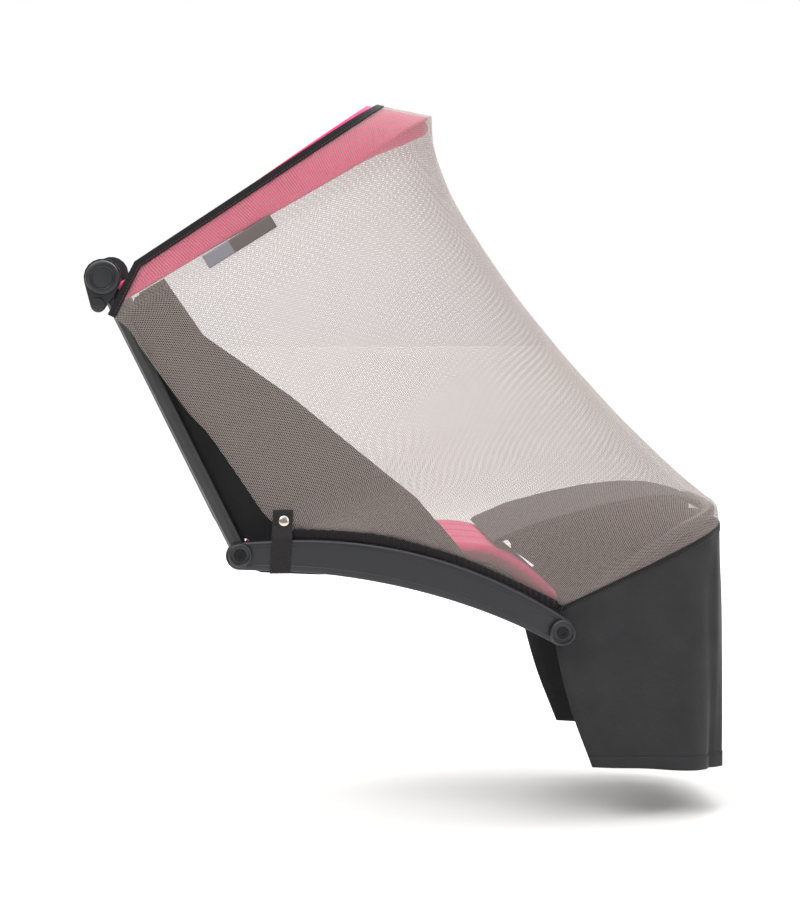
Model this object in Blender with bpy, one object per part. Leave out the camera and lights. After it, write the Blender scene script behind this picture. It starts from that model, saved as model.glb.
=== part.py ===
# A stroller's mosquito net, stretched from the hood's front rim to the foot bar of a plain seat frame.
#
# Metres. The origin lies midway between the two rear pivots. +X is the way the seat faces,
# +Z is up, and the near side is -Y. Outlines in the side view are given as (x, z).

import math
from collections import namedtuple

import bmesh
import bpy
from mathutils import Vector

# Fits
GAP = 0.0003  # between pieces that touch
EASE = 0.002  # between the stretched net and what it covers

# Cloth
CLOTH = 0.0012  # net and foot panel
TAPE = 0.0025  # binding tape, folded over the edge
TAPE_WIDTH = 0.010
RIM_CLOTH = 0.003  # padded hood fabric
LABEL_LENGTH = 0.098
LABEL_HEIGHT = 0.0175
LABEL_THICK = 0.0010
WEBBING = 0.0016
WEBBING_WIDTH = 0.025
STRAP_TOP = 0.052
STUD_RADIUS = 0.0065
STUD_CAP = 0.0024
STUD_SOCKET = 0.0015
STUD = (0.0547, 0.0386)

# Frame
ROLL_RADIUS = 0.0115  # padded edge of the hood
TUBE_RADIUS = 0.0105
TUBE_Y = 0.1595
TUBE_TAIL = 0.012  # how far each side tube runs on past the rear pivot
CROSS_BAR_RADIUS = 0.009
FOOT_BAR_RADIUS = 0.008
RAIL_INNER = 0.1765
RAIL_OUTER = 0.1925
RAIL_CORNER = 0.005
RAIL_END_HALF = 0.0175
RAIL_SWELL = 0.0052
PLATE = 0.003  # stiff side wings of the seat
WING_Y = 0.1455
BACK_HALF = 0.145
SEAT_HALF = 0.145
PAD_HALF = 0.138
HINGE_PLATE = 0.004
HINGE_RADIUS = 0.023
HINGE_CAP = 0.008
HINGE = (-0.166, 0.340)
KNOB_RADIUS = 0.0095
KNOB_CAP = 0.004
KNOB = (-0.1715, 0.3065)
REAR_PIVOT = (0.0, -0.002)
REAR_PIVOT_RADIUS = 0.0150
FRONT_PIVOT = (0.4025, -0.1042)
FRONT_PIVOT_RADIUS = 0.0165
PIVOT_CAP = 0.008
SPACER_RADIUS = 0.012
SIDES = (("near", -1), ("far", 1))

# The net is a family of hoops. Each runs from its near edge round the front to its far edge,
# and keeps to one plane, which is the line from edge to front in the side view.
Hoop = namedtuple("Hoop", "edge_x edge_z front_x front_z edge_half front_half fullness")
NET_HOOPS = (
    Hoop(-0.1190, 0.3525, 0.1900, 0.5555, 0.1730, 0.1650, 4.5),
    Hoop(-0.1350, 0.3220, 0.2510, 0.5440, 0.1732, 0.1640, 4.5),
    Hoop(-0.1510, 0.2900, 0.2545, 0.5065, 0.1735, 0.1600, 4.2),
    Hoop(-0.1330, 0.2741, 0.2675, 0.4680, 0.1740, 0.1550, 3.9),
    Hoop(-0.1150, 0.2458, 0.2860, 0.4300, 0.1745, 0.1500, 3.6),
    Hoop(-0.0677, 0.1802, 0.3225, 0.3730, 0.1755, 0.1450, 3.3),
    Hoop(-0.0371, 0.1455, 0.3640, 0.3150, 0.1765, 0.1400, 3.1),
    Hoop(0.0000, 0.0920, 0.3950, 0.2765, 0.1780, 0.1360, 3.0),
    Hoop(0.0351, 0.0421, 0.4270, 0.2380, 0.1800, 0.1340, 3.0),
    Hoop(0.0672, 0.0257, 0.4620, 0.1990, 0.1810, 0.1330, 3.1),
    Hoop(0.1393, 0.0213, 0.4980, 0.1595, 0.1820, 0.1340, 3.3),
    Hoop(0.1918, 0.0132, 0.5375, 0.1200, 0.1820, 0.1360, 3.6),
    Hoop(0.2745, -0.0116, 0.5785, 0.0810, 0.1815, 0.1400, 4.2),
    Hoop(0.3442, -0.0430, 0.6105, 0.0540, 0.1790, 0.1440, 4.8),
    Hoop(0.3760, -0.0585, 0.6235, 0.0430, 0.1765, 0.1450, 5.0),
    Hoop(0.4057, -0.0735, 0.6270, 0.0225, 0.1740, 0.1450, 5.0),
)
HOOD_FRONT = 1  # the hoop that is creased over the rim's front edge
TOP_CORNER = 2  # the hoop whose ends are the top back corners
RAIL_START = 9  # the first hoop whose ends stand over the side rail
FOOT_EDGE = 14  # the hoop that turns over the foot bar
SEAM = len(NET_HOOPS) - 1
NET_ROWS = (0.0, 0.4, 0.75, 1.0, 1.2, 1.5, 2.0, 2.5, 3.0, 3.5, 4.0, 4.4, 4.8, 5.2, 5.6, 6.0, 6.5, 7.0, 7.5,
            8.0, 8.5, 9.0, 9.5, 10.0, 10.5, 11.0, 11.5, 12.0, 12.5, 13.0, 13.5, 14.0, 14.5, 15.0)
HALF_COLUMNS = 16
CORNER_SHARE = 0.9  # how strongly the columns crowd into the bends

FOOT_HOOPS = (
    Hoop(0.4057, -0.0740, 0.6270, 0.0219, 0.1725, 0.1450, 5.0),
    Hoop(0.3980, -0.1200, 0.6300, -0.0600, 0.1690, 0.1460, 5.0),
    Hoop(0.4180, -0.2050, 0.6335, -0.1800, 0.1620, 0.1450, 4.6),
    Hoop(0.4480, -0.2850, 0.6340, -0.2990, 0.1540, 0.1420, 4.2),
)
FOOT_ROWS = 11

# Upright folds of the foot panel: place round the hoop (-1 near edge, 1 far edge), width, depth at the hem
Fold = namedtuple("Fold", "place width depth")
FOOT_FOLDS = (
    Fold(-0.86, 0.07, -0.006),
    Fold(-0.66, 0.09, 0.004),
    Fold(-0.46, 0.06, -0.005),
    Fold(-0.30, 0.05, 0.003),
    Fold(0.12, 0.10, -0.004),
    Fold(0.38, 0.07, 0.004),
    Fold(0.60, 0.09, -0.005),
    Fold(0.84, 0.08, 0.005),
)

WING_OUTLINE = ((-0.1276, 0.3145), (-0.094, 0.334), (-0.0855, 0.3205), (-0.041, 0.256), (0.077, 0.173),
                (0.202, 0.070), (0.250, 0.0315), (0.274, 0.003), (0.289, -0.017), (0.240, -0.032),
                (0.100, -0.034), (0.022, -0.030), (0.0145, -0.012), (0.0145, 0.012), (-0.012, 0.014),
                (-0.030, 0.035), (-0.140, 0.262))
BACK_LINE = ((-0.0046, 0.0094), (-0.070, 0.150), (-0.136, 0.285))
PAD_LINE = ((0.014, 0.004), (0.110, 0.005), (0.210, 0.005), (0.290, 0.004), (0.318, 0.001), (0.345, -0.010),
            (0.372, -0.030), (0.395, -0.051), (0.411, -0.067))
PAD_THICK = 0.024
SEAT_THICK = 0.008
SEAT_LIP = 0.017  # the panel runs on past the pad to the foot bar's arms
BACK_THICK = 0.010
CalfRow = namedtuple("CalfRow", "x z half")
CALF_ROWS = (
    CalfRow(0.322, 0.0044, 0.136),
    CalfRow(0.373, 0.0260, 0.136),
    CalfRow(0.430, 0.0410, 0.132),
    CalfRow(0.480, 0.0515, 0.122),
    CalfRow(0.525, 0.0575, 0.107),
    CalfRow(0.560, 0.0575, 0.094),
    CalfRow(0.584, 0.0525, 0.084),
    CalfRow(0.6035, 0.0461, 0.078),
)
CALF_THICK = 0.006
SkirtRow = namedtuple("SkirtRow", "x half top bottom")
SKIRT_ROWS = (
    SkirtRow(0.345, 0.1320, 0.0069, -0.0060),
    SkirtRow(0.373, 0.1320, 0.0188, -0.0255),
    SkirtRow(0.395, 0.1305, 0.0247, -0.0460),
    SkirtRow(0.413, 0.1290, 0.0293, -0.0640),
    SkirtRow(0.417, 0.1290, 0.0303, -0.0800),
    SkirtRow(0.450, 0.1240, 0.0384, -0.0665),
    SkirtRow(0.480, 0.1180, 0.0449, -0.0535),
    SkirtRow(0.525, 0.1030, 0.0509, -0.0340),
    SkirtRow(0.560, 0.0900, 0.0509, -0.0185),
    SkirtRow(0.584, 0.0800, 0.0457, -0.0080),
)

Finish = namedtuple("Finish", "red green blue roughness metallic")
FINISHES = {
    "taupe_net": Finish(0.392, 0.326, 0.305, 0.80, 0.0),
    "black_weave": Finish(0.033, 0.033, 0.036, 0.85, 0.0),
    "black_tape": Finish(0.018, 0.014, 0.016, 0.80, 0.0),
    "grey_label": Finish(0.290, 0.270, 0.270, 0.75, 0.0),
    "nickel": Finish(0.620, 0.580, 0.540, 0.28, 1.0),
    "pink_cloth": Finish(0.770, 0.036, 0.170, 0.80, 0.0),
    "black_nylon": Finish(0.024, 0.025, 0.027, 0.42, 0.0),
    "black_steel": Finish(0.020, 0.020, 0.022, 0.35, 0.0),
}


def remove_everything():
    for thing in list(bpy.data.objects):
        bpy.data.objects.remove(thing, do_unlink=True)


def finish_material(name):
    """The material of one finish, made the first time it is asked for."""
    material = bpy.data.materials.get(name)
    if material:
        return material
    finish = FINISHES[name]
    material = bpy.data.materials.new(name)
    material.use_nodes = True
    shader = material.node_tree.nodes["Principled BSDF"]
    shader.inputs["Base Color"].default_value = (finish.red, finish.green, finish.blue, 1.0)
    shader.inputs["Roughness"].default_value = finish.roughness
    shader.inputs["Metallic"].default_value = finish.metallic
    return material


def add_object(name, data, finish):
    thing = bpy.data.objects.new(name, data)
    bpy.context.scene.collection.objects.link(thing)
    data.materials.append(finish_material(finish))
    return thing


def add_bmesh(name, shape, finish, sharp_degrees=35):
    """Turn a bmesh into a named object with its faces pointing out."""
    bmesh.ops.recalc_face_normals(shape, faces=shape.faces)
    mesh = bpy.data.meshes.new(name)
    shape.to_mesh(mesh)
    shape.free()
    mesh.shade_smooth()
    mesh.set_sharp_from_angle(angle=math.radians(sharp_degrees))
    return add_object(name, mesh, finish)


def add_sheet(name, rows, thickness, finish):
    """A cloth sheet through a grid of points, thickened equally to both sides."""
    columns = len(rows[0])
    points = [point for row in rows for point in row]
    faces = []
    for i in range(len(rows) - 1):
        for j in range(columns - 1):
            first = i * columns + j
            faces.append((first, first + columns, first + columns + 1, first + 1))
    mesh = bpy.data.meshes.new(name)
    mesh.from_pydata(points, [], faces)
    mesh.shade_smooth()
    sheet = add_object(name, mesh, finish)
    solid = sheet.modifiers.new("Thickness", "SOLIDIFY")
    solid.thickness = thickness
    solid.offset = 0.0
    solid.use_even_offset = True
    return sheet


def add_loft(name, rings, finish):
    """A closed body through equal rings of points, with flat ends."""
    shape = bmesh.new()
    loops = [[shape.verts.new(point) for point in ring] for ring in rings]
    count = len(rings[0])
    for one, two in zip(loops, loops[1:]):
        for k in range(count):
            shape.faces.new((one[k], one[(k + 1) % count], two[(k + 1) % count], two[k]))
    shape.faces.new(loops[0])
    shape.faces.new(loops[-1])
    return add_bmesh(name, shape, finish)


def add_bar(name, path, radius, finish):
    """A round bar along a path."""
    curve = bpy.data.curves.new(name, "CURVE")
    curve.dimensions = "3D"
    curve.bevel_depth = radius
    curve.bevel_resolution = 2
    curve.use_fill_caps = True
    spline = curve.splines.new("POLY")
    spline.points.add(len(path) - 1)
    for point, place in zip(spline.points, path):
        point.co = (place[0], place[1], place[2], 1.0)
    return add_object(name, curve, finish)


def add_plate(name, outline, low_y, high_y, finish, bevel=0.0):
    """An outline in the side view, extruded across the seat."""
    shape = bmesh.new()
    face = shape.faces.new([shape.verts.new((x, low_y, z)) for x, z in outline])
    grown = bmesh.ops.extrude_face_region(shape, geom=[face])["geom"]
    moved = [item for item in grown if isinstance(item, bmesh.types.BMVert)]
    bmesh.ops.translate(shape, verts=moved, vec=(0.0, high_y - low_y, 0.0))
    plate = add_bmesh(name, shape, finish)
    if bevel:
        add_bevel(plate, bevel, 2)
    return plate


def add_bevel(thing, width, segments):
    bevel = thing.modifiers.new("Soft edge", "BEVEL")
    bevel.width = width
    bevel.segments = segments
    bevel.limit_method = "ANGLE"
    bevel.angle_limit = math.radians(50)


def add_disc(name, place, radius, side, inner_y, outer_y, finish, bevel=0.0, lean=0.0):
    """A round disc with its axis across the seat, between two distances from the middle."""
    shape = bmesh.new()
    bmesh.ops.create_cone(shape, cap_ends=True, segments=20, radius1=radius, radius2=radius,
                          depth=outer_y - inner_y)
    mesh = bpy.data.meshes.new(name)
    shape.to_mesh(mesh)
    shape.free()
    mesh.shade_smooth()
    mesh.set_sharp_from_angle(angle=math.radians(35))
    disc = add_object(name, mesh, finish)
    disc.rotation_euler = (math.pi / 2 + lean, 0.0, 0.0)
    disc.location = (place[0], side * (inner_y + outer_y) / 2, place[1])
    if bevel:
        add_bevel(disc, bevel, 1)
    return disc


def smooth_value(values, place, creases):
    """Value of a smooth curve through the rows of a table, broken at the creases."""
    last = len(values) - 1
    row = min(max(math.floor(place), 0), last - 1)
    part = place - row
    start, end = values[row], values[row + 1]
    before = values[row - 1] if row > 0 and row not in creases else 2 * start - end
    after = values[row + 2] if row + 2 <= last and row + 1 not in creases else 2 * end - start
    start_slope, end_slope = (end - before) / 2, (after - start) / 2
    if part < 0:
        return start + start_slope * part
    square, cube = part ** 2, part ** 3
    return (start * (2 * cube - 3 * square + 1) + end * (3 * square - 2 * cube)
            + start_slope * (cube - 2 * square + part) + end_slope * (cube - square))


def hoop_at(table, place, edge_creases=(), front_creases=()):
    """The hoop at a fractional row of a hoop table."""
    values = {}
    for field in Hoop._fields:
        creases = front_creases if field.startswith("front") else edge_creases
        values[field] = smooth_value([getattr(hoop, field) for hoop in table], place, creases)
    return Hoop(**values)


def net_hoop(place):
    return hoop_at(NET_HOOPS, place, (TOP_CORNER, RAIL_START), (HOOD_FRONT,))


def hoop_points(hoop, half_columns=HALF_COLUMNS):
    """Points round one hoop, closer together in its bends, from the near edge to the far edge."""
    steps = 160
    edge = Vector((hoop.edge_x, 0.0, hoop.edge_z))
    chord = Vector((hoop.front_x, 0.0, hoop.front_z)) - edge
    fine = []
    for k in range(steps + 1):
        turn = math.pi / 2 * k / steps
        share = math.sin(turn) ** (2 / hoop.fullness)
        full = hoop.edge_half + (hoop.front_half - hoop.edge_half) * share
        across = full * max(math.cos(turn), 0.0) ** (2 / hoop.fullness)
        point = edge + chord * share
        fine.append(Vector((point.x, across, point.z)))
    fine[-1].y = 0.0
    runs = [two - one for one, two in zip(fine, fine[1:])]
    length = sum(run.length for run in runs)
    bends = [0.0] + [one.angle(two) for one, two in zip(runs, runs[1:])]
    turned = sum(bends)
    costs = [0.0]
    for run, bend in zip(runs, bends):
        costs.append(costs[-1] + run.length / length + CORNER_SHARE * bend / turned)
    half = []
    k = 0
    for column in range(half_columns + 1):
        wanted = costs[-1] * column / half_columns
        while k < steps - 1 and costs[k + 1] < wanted:
            k += 1
        part = min((wanted - costs[k]) / (costs[k + 1] - costs[k]), 1.0)
        half.append(fine[k].lerp(fine[k + 1], part))
    near = [Vector((point.x, -point.y, point.z)) for point in half]
    return near + half[-2::-1]


def net_stations(place, half_columns=HALF_COLUMNS):
    """Point, outward normal and downward direction at each column of one hoop of the net."""
    step = 0.02
    here = hoop_points(net_hoop(place), half_columns)
    below = hoop_points(net_hoop(place + step), half_columns)
    stations = []
    for j, point in enumerate(here):
        along = here[min(j + 1, len(here) - 1)] - here[max(j - 1, 0)]
        normal = (below[j] - point).cross(along).normalized()
        down = along.cross(normal).normalized()
        stations.append((point, normal, down))
    return stations


def side_wall_y(x, z):
    """Half width of the net's side wall where it crosses one point of the side view."""
    low, high = 0.0, float(SEAM)
    for _ in range(40):
        middle = (low + high) / 2
        hoop = net_hoop(middle)
        chord_x, chord_z = hoop.front_x - hoop.edge_x, hoop.front_z - hoop.edge_z
        above = chord_x * (z - hoop.edge_z) - chord_z * (x - hoop.edge_x)
        low, high = (low, middle) if above > 0 else (middle, high)
    share = ((x - hoop.edge_x) * chord_x + (z - hoop.edge_z) * chord_z) / (chord_x ** 2 + chord_z ** 2)
    share = min(max(share, 0.0), 1.0)
    full = hoop.edge_half + (hoop.front_half - hoop.edge_half) * share
    return full * (1 - share ** hoop.fullness) ** (1 / hoop.fullness)


def make_net():
    add_sheet("net", [hoop_points(net_hoop(place)) for place in NET_ROWS], CLOTH, "taupe_net")


def fold_depth(place, drop):
    """How far the foot panel stands out of its plain hoop, at a share of the drop to the hem."""
    depth = 0.0
    for fold in FOOT_FOLDS:
        depth += fold.depth * math.exp(-((place - fold.place) / fold.width) ** 2)
    return depth * drop ** 1.5


def make_foot_panel():
    rows = []
    for i in range(FOOT_ROWS):
        drop = i / (FOOT_ROWS - 1)
        plain = hoop_points(hoop_at(FOOT_HOOPS, drop * (len(FOOT_HOOPS) - 1)))
        row = []
        for j, point in enumerate(plain):
            along = plain[min(j + 1, len(plain) - 1)] - plain[max(j - 1, 0)]
            outward = Vector((along.y, -along.x, 0.0)).normalized()
            place = (j - HALF_COLUMNS) / HALF_COLUMNS
            row.append(point + outward * fold_depth(place, drop))
        rows.append(row)
    add_sheet("foot_panel", rows, CLOTH, "black_weave")


def make_hood_binding():
    """Tape along the net's top hoop, then down each side to the top back corner."""
    stations = []
    for point, normal, down in net_stations(0.0):
        stations.append((point, normal, -down))
    for side in (-1, 1):
        leg = []
        places = [place for place in NET_ROWS if 0 < place <= TOP_CORNER]
        hoops = [net_hoop(place) for place in [0.0] + places]
        for one, two in zip(hoops, hoops[1:]):
            run = Vector((two.edge_x - one.edge_x, 0.0, two.edge_z - one.edge_z)).normalized()
            back = Vector((run.z, 0.0, -run.x))
            leg.append((Vector((two.edge_x, side * two.edge_half, two.edge_z)), Vector((0, side, 0)), back))
        end = 0 if side < 0 else -1
        corner, normal, back = stations[end]
        mitre = (back + leg[0][2]).normalized()
        stations[end] = (corner, normal, mitre / mitre.dot(back))
        stations = leg[::-1] + stations if side < 0 else stations + leg
    rings = []
    for point, normal, back in stations:
        low, high = point + back * GAP, point + back * (GAP + TAPE_WIDTH)
        lift = normal * TAPE / 2
        rings.append((low - lift, low + lift, high + lift, high - lift))
    add_loft("hood_binding", rings, "black_tape")


def rail_centre(x):
    """Height of the side rail's centre line: level at the back, then one long arc down to the front."""
    level, start = REAR_PIVOT[1] - 0.002, 0.045
    run, drop = FRONT_PIVOT[0] - start, level - FRONT_PIVOT[1]
    radius = (run ** 2 + drop ** 2) / (2 * drop)
    if x <= start:
        return level
    return level - radius + math.sqrt(radius ** 2 - (x - start) ** 2)


def rail_half(x):
    return RAIL_END_HALF + RAIL_SWELL * math.sin(math.pi * min(max(x / FRONT_PIVOT[0], 0.0), 1.0))


def rail_frame(x):
    """Centre point and upward normal of the rail in the side view."""
    step = 0.002
    slope = (rail_centre(x + step / 2) - rail_centre(x - step / 2)) / step
    return Vector((x, 0.0, rail_centre(x))), Vector((-slope, 0.0, 1.0)).normalized()


def rail_top(x):
    centre, up = rail_frame(x)
    return centre.z + rail_half(x) / up.z


def make_rail_bindings():
    """Gathered elastic between the net's lower edge and the top of each side rail."""
    clearance = 0.0008  # over the rail
    front_end = SEAM - 0.25
    rail_shoulder = 0.388  # past here the rail's top turns down into its rounded end
    places = [place for place in NET_ROWS if RAIL_START <= place < front_end] + [front_end]
    for name, side in SIDES:
        rings = []
        for place in places:
            hoop = net_hoop(place)
            x = max(hoop.edge_x, NET_HOOPS[RAIL_START].edge_x + GAP)
            low = max(rail_top(min(x, rail_shoulder)) + clearance, hoop.edge_z - TAPE_WIDTH)
            top, y = hoop.edge_z - 2 * GAP, side * hoop.edge_half
            inner, outer = y - side * TAPE / 2, y + side * TAPE / 2
            rings.append(((x, inner, low), (x, outer, low), (x, outer, top), (x, inner, top)))
        add_loft("rail_binding_" + name, rings, "black_tape")


def make_label():
    """A bare woven label on the near side wall, just under the hood's tape."""
    low_left = Vector((-0.035, 0.0, 0.3505))
    along = Vector((0.085, 0.0, 0.0525)).normalized()
    up = Vector((-along.z, 0.0, along.x))
    proud = CLOTH / 2 + GAP + 0.0005 + LABEL_THICK / 2
    rows = []
    for i in (1, 0):
        row = []
        for j in range(9):
            point = low_left + along * LABEL_LENGTH * j / 8 + up * LABEL_HEIGHT * i
            row.append(Vector((point.x, -side_wall_y(point.x, point.z) - proud, point.z)))
        rows.append(row)
    add_sheet("label", rows, LABEL_THICK, "grey_label")


def make_straps():
    """Webbing looped round the back of each side rail, with its ends closed on the net's edge by a stud."""
    layer = CLOTH / 2 + 3 * GAP + WEBBING / 2
    rail_in, rail_out = RAIL_INNER - 2 * GAP - WEBBING / 2, RAIL_OUTER + 2 * GAP + WEBBING / 2
    bottom = rail_centre(0.05) - rail_half(0.066) - 2 * GAP - WEBBING / 2
    on_net, on_rail = True, False  # y counts from the net's side wall, or from the middle of the seat
    inner = [(on_net, -layer, z) for z in (STRAP_TOP, 0.045, 0.038, 0.031, 0.0235)]
    outer = [(on_net, layer, z) for z in (0.0330, 0.038, 0.045, STRAP_TOP)]
    turn = 0.003  # the webbing's own turn under the rail's corners
    loop = [(on_rail, rail_in, 0.0155), (on_rail, rail_in, bottom + turn), (on_rail, rail_in + turn, bottom),
            (on_rail, rail_out - turn, bottom), (on_rail, rail_out, bottom + turn), (on_rail, rail_out, 0.0180)]
    path = inner + loop + outer
    for name, side in SIDES:
        lines = []
        for across in (-WEBBING_WIDTH / 2, WEBBING_WIDTH / 2):
            line = []
            for place, y, z in path:
                x = strap_middle(z) + across
                line.append(Vector((x, side * (y + (side_wall_y(x, z) if place == on_net else 0.0)), z)))
            lines.append(line)
        rings = []
        for back, front in zip(*[thick_edge(line, WEBBING) for line in lines]):
            rings.append((back[0], front[0], front[1], back[1]))
        add_loft("strap_" + name, rings, "black_tape")
        wall = side_wall_y(*STUD)
        above, below = (side_wall_y(STUD[0], STUD[1] + STUD_RADIUS * sign) for sign in (1, -1))
        lean = -side * (above - below) / (2 * STUD_RADIUS)
        face, inside = wall + layer + WEBBING / 2 + 2 * GAP, wall - layer - WEBBING / 2 - 2 * GAP
        add_disc("snap_cap_" + name, STUD, STUD_RADIUS, side, face, face + STUD_CAP, "nickel", STUD_CAP / 2,
                 lean)
        add_disc("snap_socket_" + name, STUD, STUD_RADIUS * 0.85, side, inside - STUD_SOCKET, inside, "nickel",
                 lean=lean)


def strap_middle(z):
    """The strap leans a little forward towards its top."""
    return 0.0508 + 0.06 * z


def thick_edge(line, thickness):
    """The two faces of a thick line that runs in one plane across the seat, as pairs of points."""
    pairs = []
    for k, point in enumerate(line):
        before, after = line[max(k - 1, 0)], line[min(k + 1, len(line) - 1)]
        one = Vector((point.y - before.y, point.z - before.z))
        two = Vector((after.y - point.y, after.z - point.z))
        one, two = one or two, two or one
        one, two = one.normalized(), two.normalized()
        along = (one + two).normalized()
        out = Vector((along.y, -along.x)) * thickness / 2 / max(along.dot(one), 0.6)
        lift = Vector((0.0, out.x, out.y))
        pairs.append((point - lift, point + lift))
    return pairs


def make_rails():
    places = [FRONT_PIVOT[0] * k / 14 for k in range(15)]
    half_width, middle = (RAIL_OUTER - RAIL_INNER) / 2, (RAIL_OUTER + RAIL_INNER) / 2
    for name, side in SIDES:
        rings = []
        for x in end_places(places):
            centre, up = rail_frame(min(max(x, 0.0), FRONT_PIVOT[0]))
            beyond = x - min(max(x, 0.0), FRONT_PIVOT[0])
            half = math.sqrt(max(RAIL_END_HALF ** 2 - beyond ** 2, 0.0)) if beyond else rail_half(x)
            centre = centre + Vector((up.z, 0.0, -up.x)) * beyond
            ring = []
            for y_sign, z_sign in ((-1, -1), (1, -1), (1, 1), (-1, 1)):
                corner = min(RAIL_CORNER, half * 0.5)
                square = ((half_width, half - corner), (half_width - corner * 0.3, half - corner * 0.3),
                          (half_width - corner, half))
                order = square if y_sign * z_sign > 0 else square[::-1]
                for across, high in order:
                    spot = centre + up * high * z_sign
                    ring.append((spot.x, side * middle + across * y_sign, spot.z))
            rings.append(ring)
        add_loft("rail_" + name, rings, "black_nylon")


def end_places(places):
    """Stations along the rail, with the rounding of both ends."""
    ends = [RAIL_END_HALF * share for share in (0.97, 0.85, 0.6, 0.3)]
    return [places[0] - end for end in ends] + places + [places[-1] + end for end in ends[::-1]]


def make_pivots():
    face, tube_face = RAIL_OUTER + GAP, TUBE_Y + TUBE_RADIUS + GAP
    for name, side in SIDES:
        add_disc("pivot_rear_" + name, REAR_PIVOT, REAR_PIVOT_RADIUS, side, face, face + PIVOT_CAP,
                 "black_nylon")
        add_disc("pivot_front_" + name, FRONT_PIVOT, FRONT_PIVOT_RADIUS, side, face, face + PIVOT_CAP,
                 "black_nylon")
        add_disc("spacer_" + name, REAR_PIVOT, SPACER_RADIUS, side, tube_face, RAIL_INNER - GAP, "black_nylon")


def make_hinges():
    """Hinge of the hood at the top of each side tube: a plate with a large and a small cap on it."""
    inner = TUBE_Y + TUBE_RADIUS + GAP
    outer = inner + HINGE_PLATE
    face = outer + GAP
    outline = two_circle_outline(HINGE, HINGE_RADIUS, KNOB, KNOB_RADIUS)
    for name, side in SIDES:
        low_y, high_y = sorted((side * inner, side * outer))
        add_plate("hinge_plate_" + name, outline, low_y, high_y, "black_nylon")
        add_disc("hinge_cap_" + name, HINGE, HINGE_RADIUS * 0.91, side, face, face + HINGE_CAP, "black_nylon")
        add_disc("hinge_knob_" + name, KNOB, KNOB_RADIUS * 0.9, side, face, face + KNOB_CAP, "black_nylon")


def two_circle_outline(one, one_radius, two, two_radius, steps=12):
    """The outline of a belt round two circles, the first above the second."""
    heading = math.atan2(two[1] - one[1], two[0] - one[0])
    distance = math.hypot(two[0] - one[0], two[1] - one[1])
    lean = math.acos((one_radius - two_radius) / distance)
    outline = []
    for k in range(steps + 1):
        angle = heading + lean + (2 * math.pi - 2 * lean) * k / steps
        outline.append((one[0] + one_radius * math.cos(angle), one[1] + one_radius * math.sin(angle)))
    for k in range(steps // 2 + 1):
        angle = heading - lean + 2 * lean * k / (steps // 2)
        outline.append((two[0] + two_radius * math.cos(angle), two[1] + two_radius * math.sin(angle)))
    return outline


def make_side_tubes():
    direction = Vector((HINGE[0], 0.0, HINGE[1])).normalized()
    for name, side in SIDES:
        across = Vector((0.0, side * TUBE_Y, 0.0))
        start = across - direction * TUBE_TAIL
        end = across + Vector((HINGE[0], 0.0, HINGE[1]))
        add_bar("side_tube_" + name, (start, end), TUBE_RADIUS, "black_steel")


def make_cross_bar():
    reach = TUBE_Y - TUBE_RADIUS
    add_bar("cross_bar", ((0.0, -reach, 0.0), (0.0, reach, 0.0)), CROSS_BAR_RADIUS, "black_steel")


def make_hood_rim():
    """The hood's front band under the net, from just behind the tape to the crease, deeper at the sides."""
    inset = CLOTH / 2 + EASE + RIM_CLOTH / 2
    back, front, side_front = -0.35, 0.94, 1.24  # hoops at the band's two edges
    rows = []
    for share in (0.0, 0.25, 0.5, 0.75, 1.0):
        row = []
        for j in range(2 * HALF_COLUMNS + 1):
            inward = 1 - abs(j - HALF_COLUMNS) / HALF_COLUMNS
            edge = front + (side_front - front) * min(max((0.55 - inward) / 0.2, 0.0), 1.0)
            place = back + (edge - back) * share
            point, normal, _ = net_stations(place)[j]
            row.append(point - normal * inset)
        rows.append(row)
    add_sheet("hood_rim", rows, RIM_CLOTH, "pink_cloth")


def make_hood_roll():
    """The padded roll inside the hood's front edge, its legs ending on the side tubes."""
    inset = CLOTH / 2 + EASE + RIM_CLOTH + 3 * GAP + ROLL_RADIUS
    path = [point - normal * inset for point, normal, _ in net_stations(HOOD_FRONT - 0.2)]
    tube = Vector((HINGE[0], 0.0, HINGE[1])).normalized()
    for end, inner in ((0, 1), (-1, -2)):
        run = (path[end] - path[inner]).normalized()
        across = Vector((tube.z, 0.0, -tube.x))
        distance = path[end].dot(across)
        reach = (distance - TUBE_RADIUS - 4 * GAP) / -run.dot(across)
        path[end] = path[end] + run * reach
    add_bar("hood_roll", path, ROLL_RADIUS, "pink_cloth")


def band_outline(line, thickness):
    """The outline of a band of one thickness that hangs under a line in the side view."""
    below = []
    for k, (x, z) in enumerate(line):
        before, after = line[max(k - 1, 0)], line[min(k + 1, len(line) - 1)]
        run = Vector((after[0] - before[0], after[1] - before[1])).normalized()
        below.append((x + run.y * thickness, z - run.x * thickness))
    return list(line) + below[::-1]


def lowered(line, drop):
    """The lower edge of such a band, in the order of its line."""
    return band_outline(line, drop)[:len(line) - 1:-1]


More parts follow.
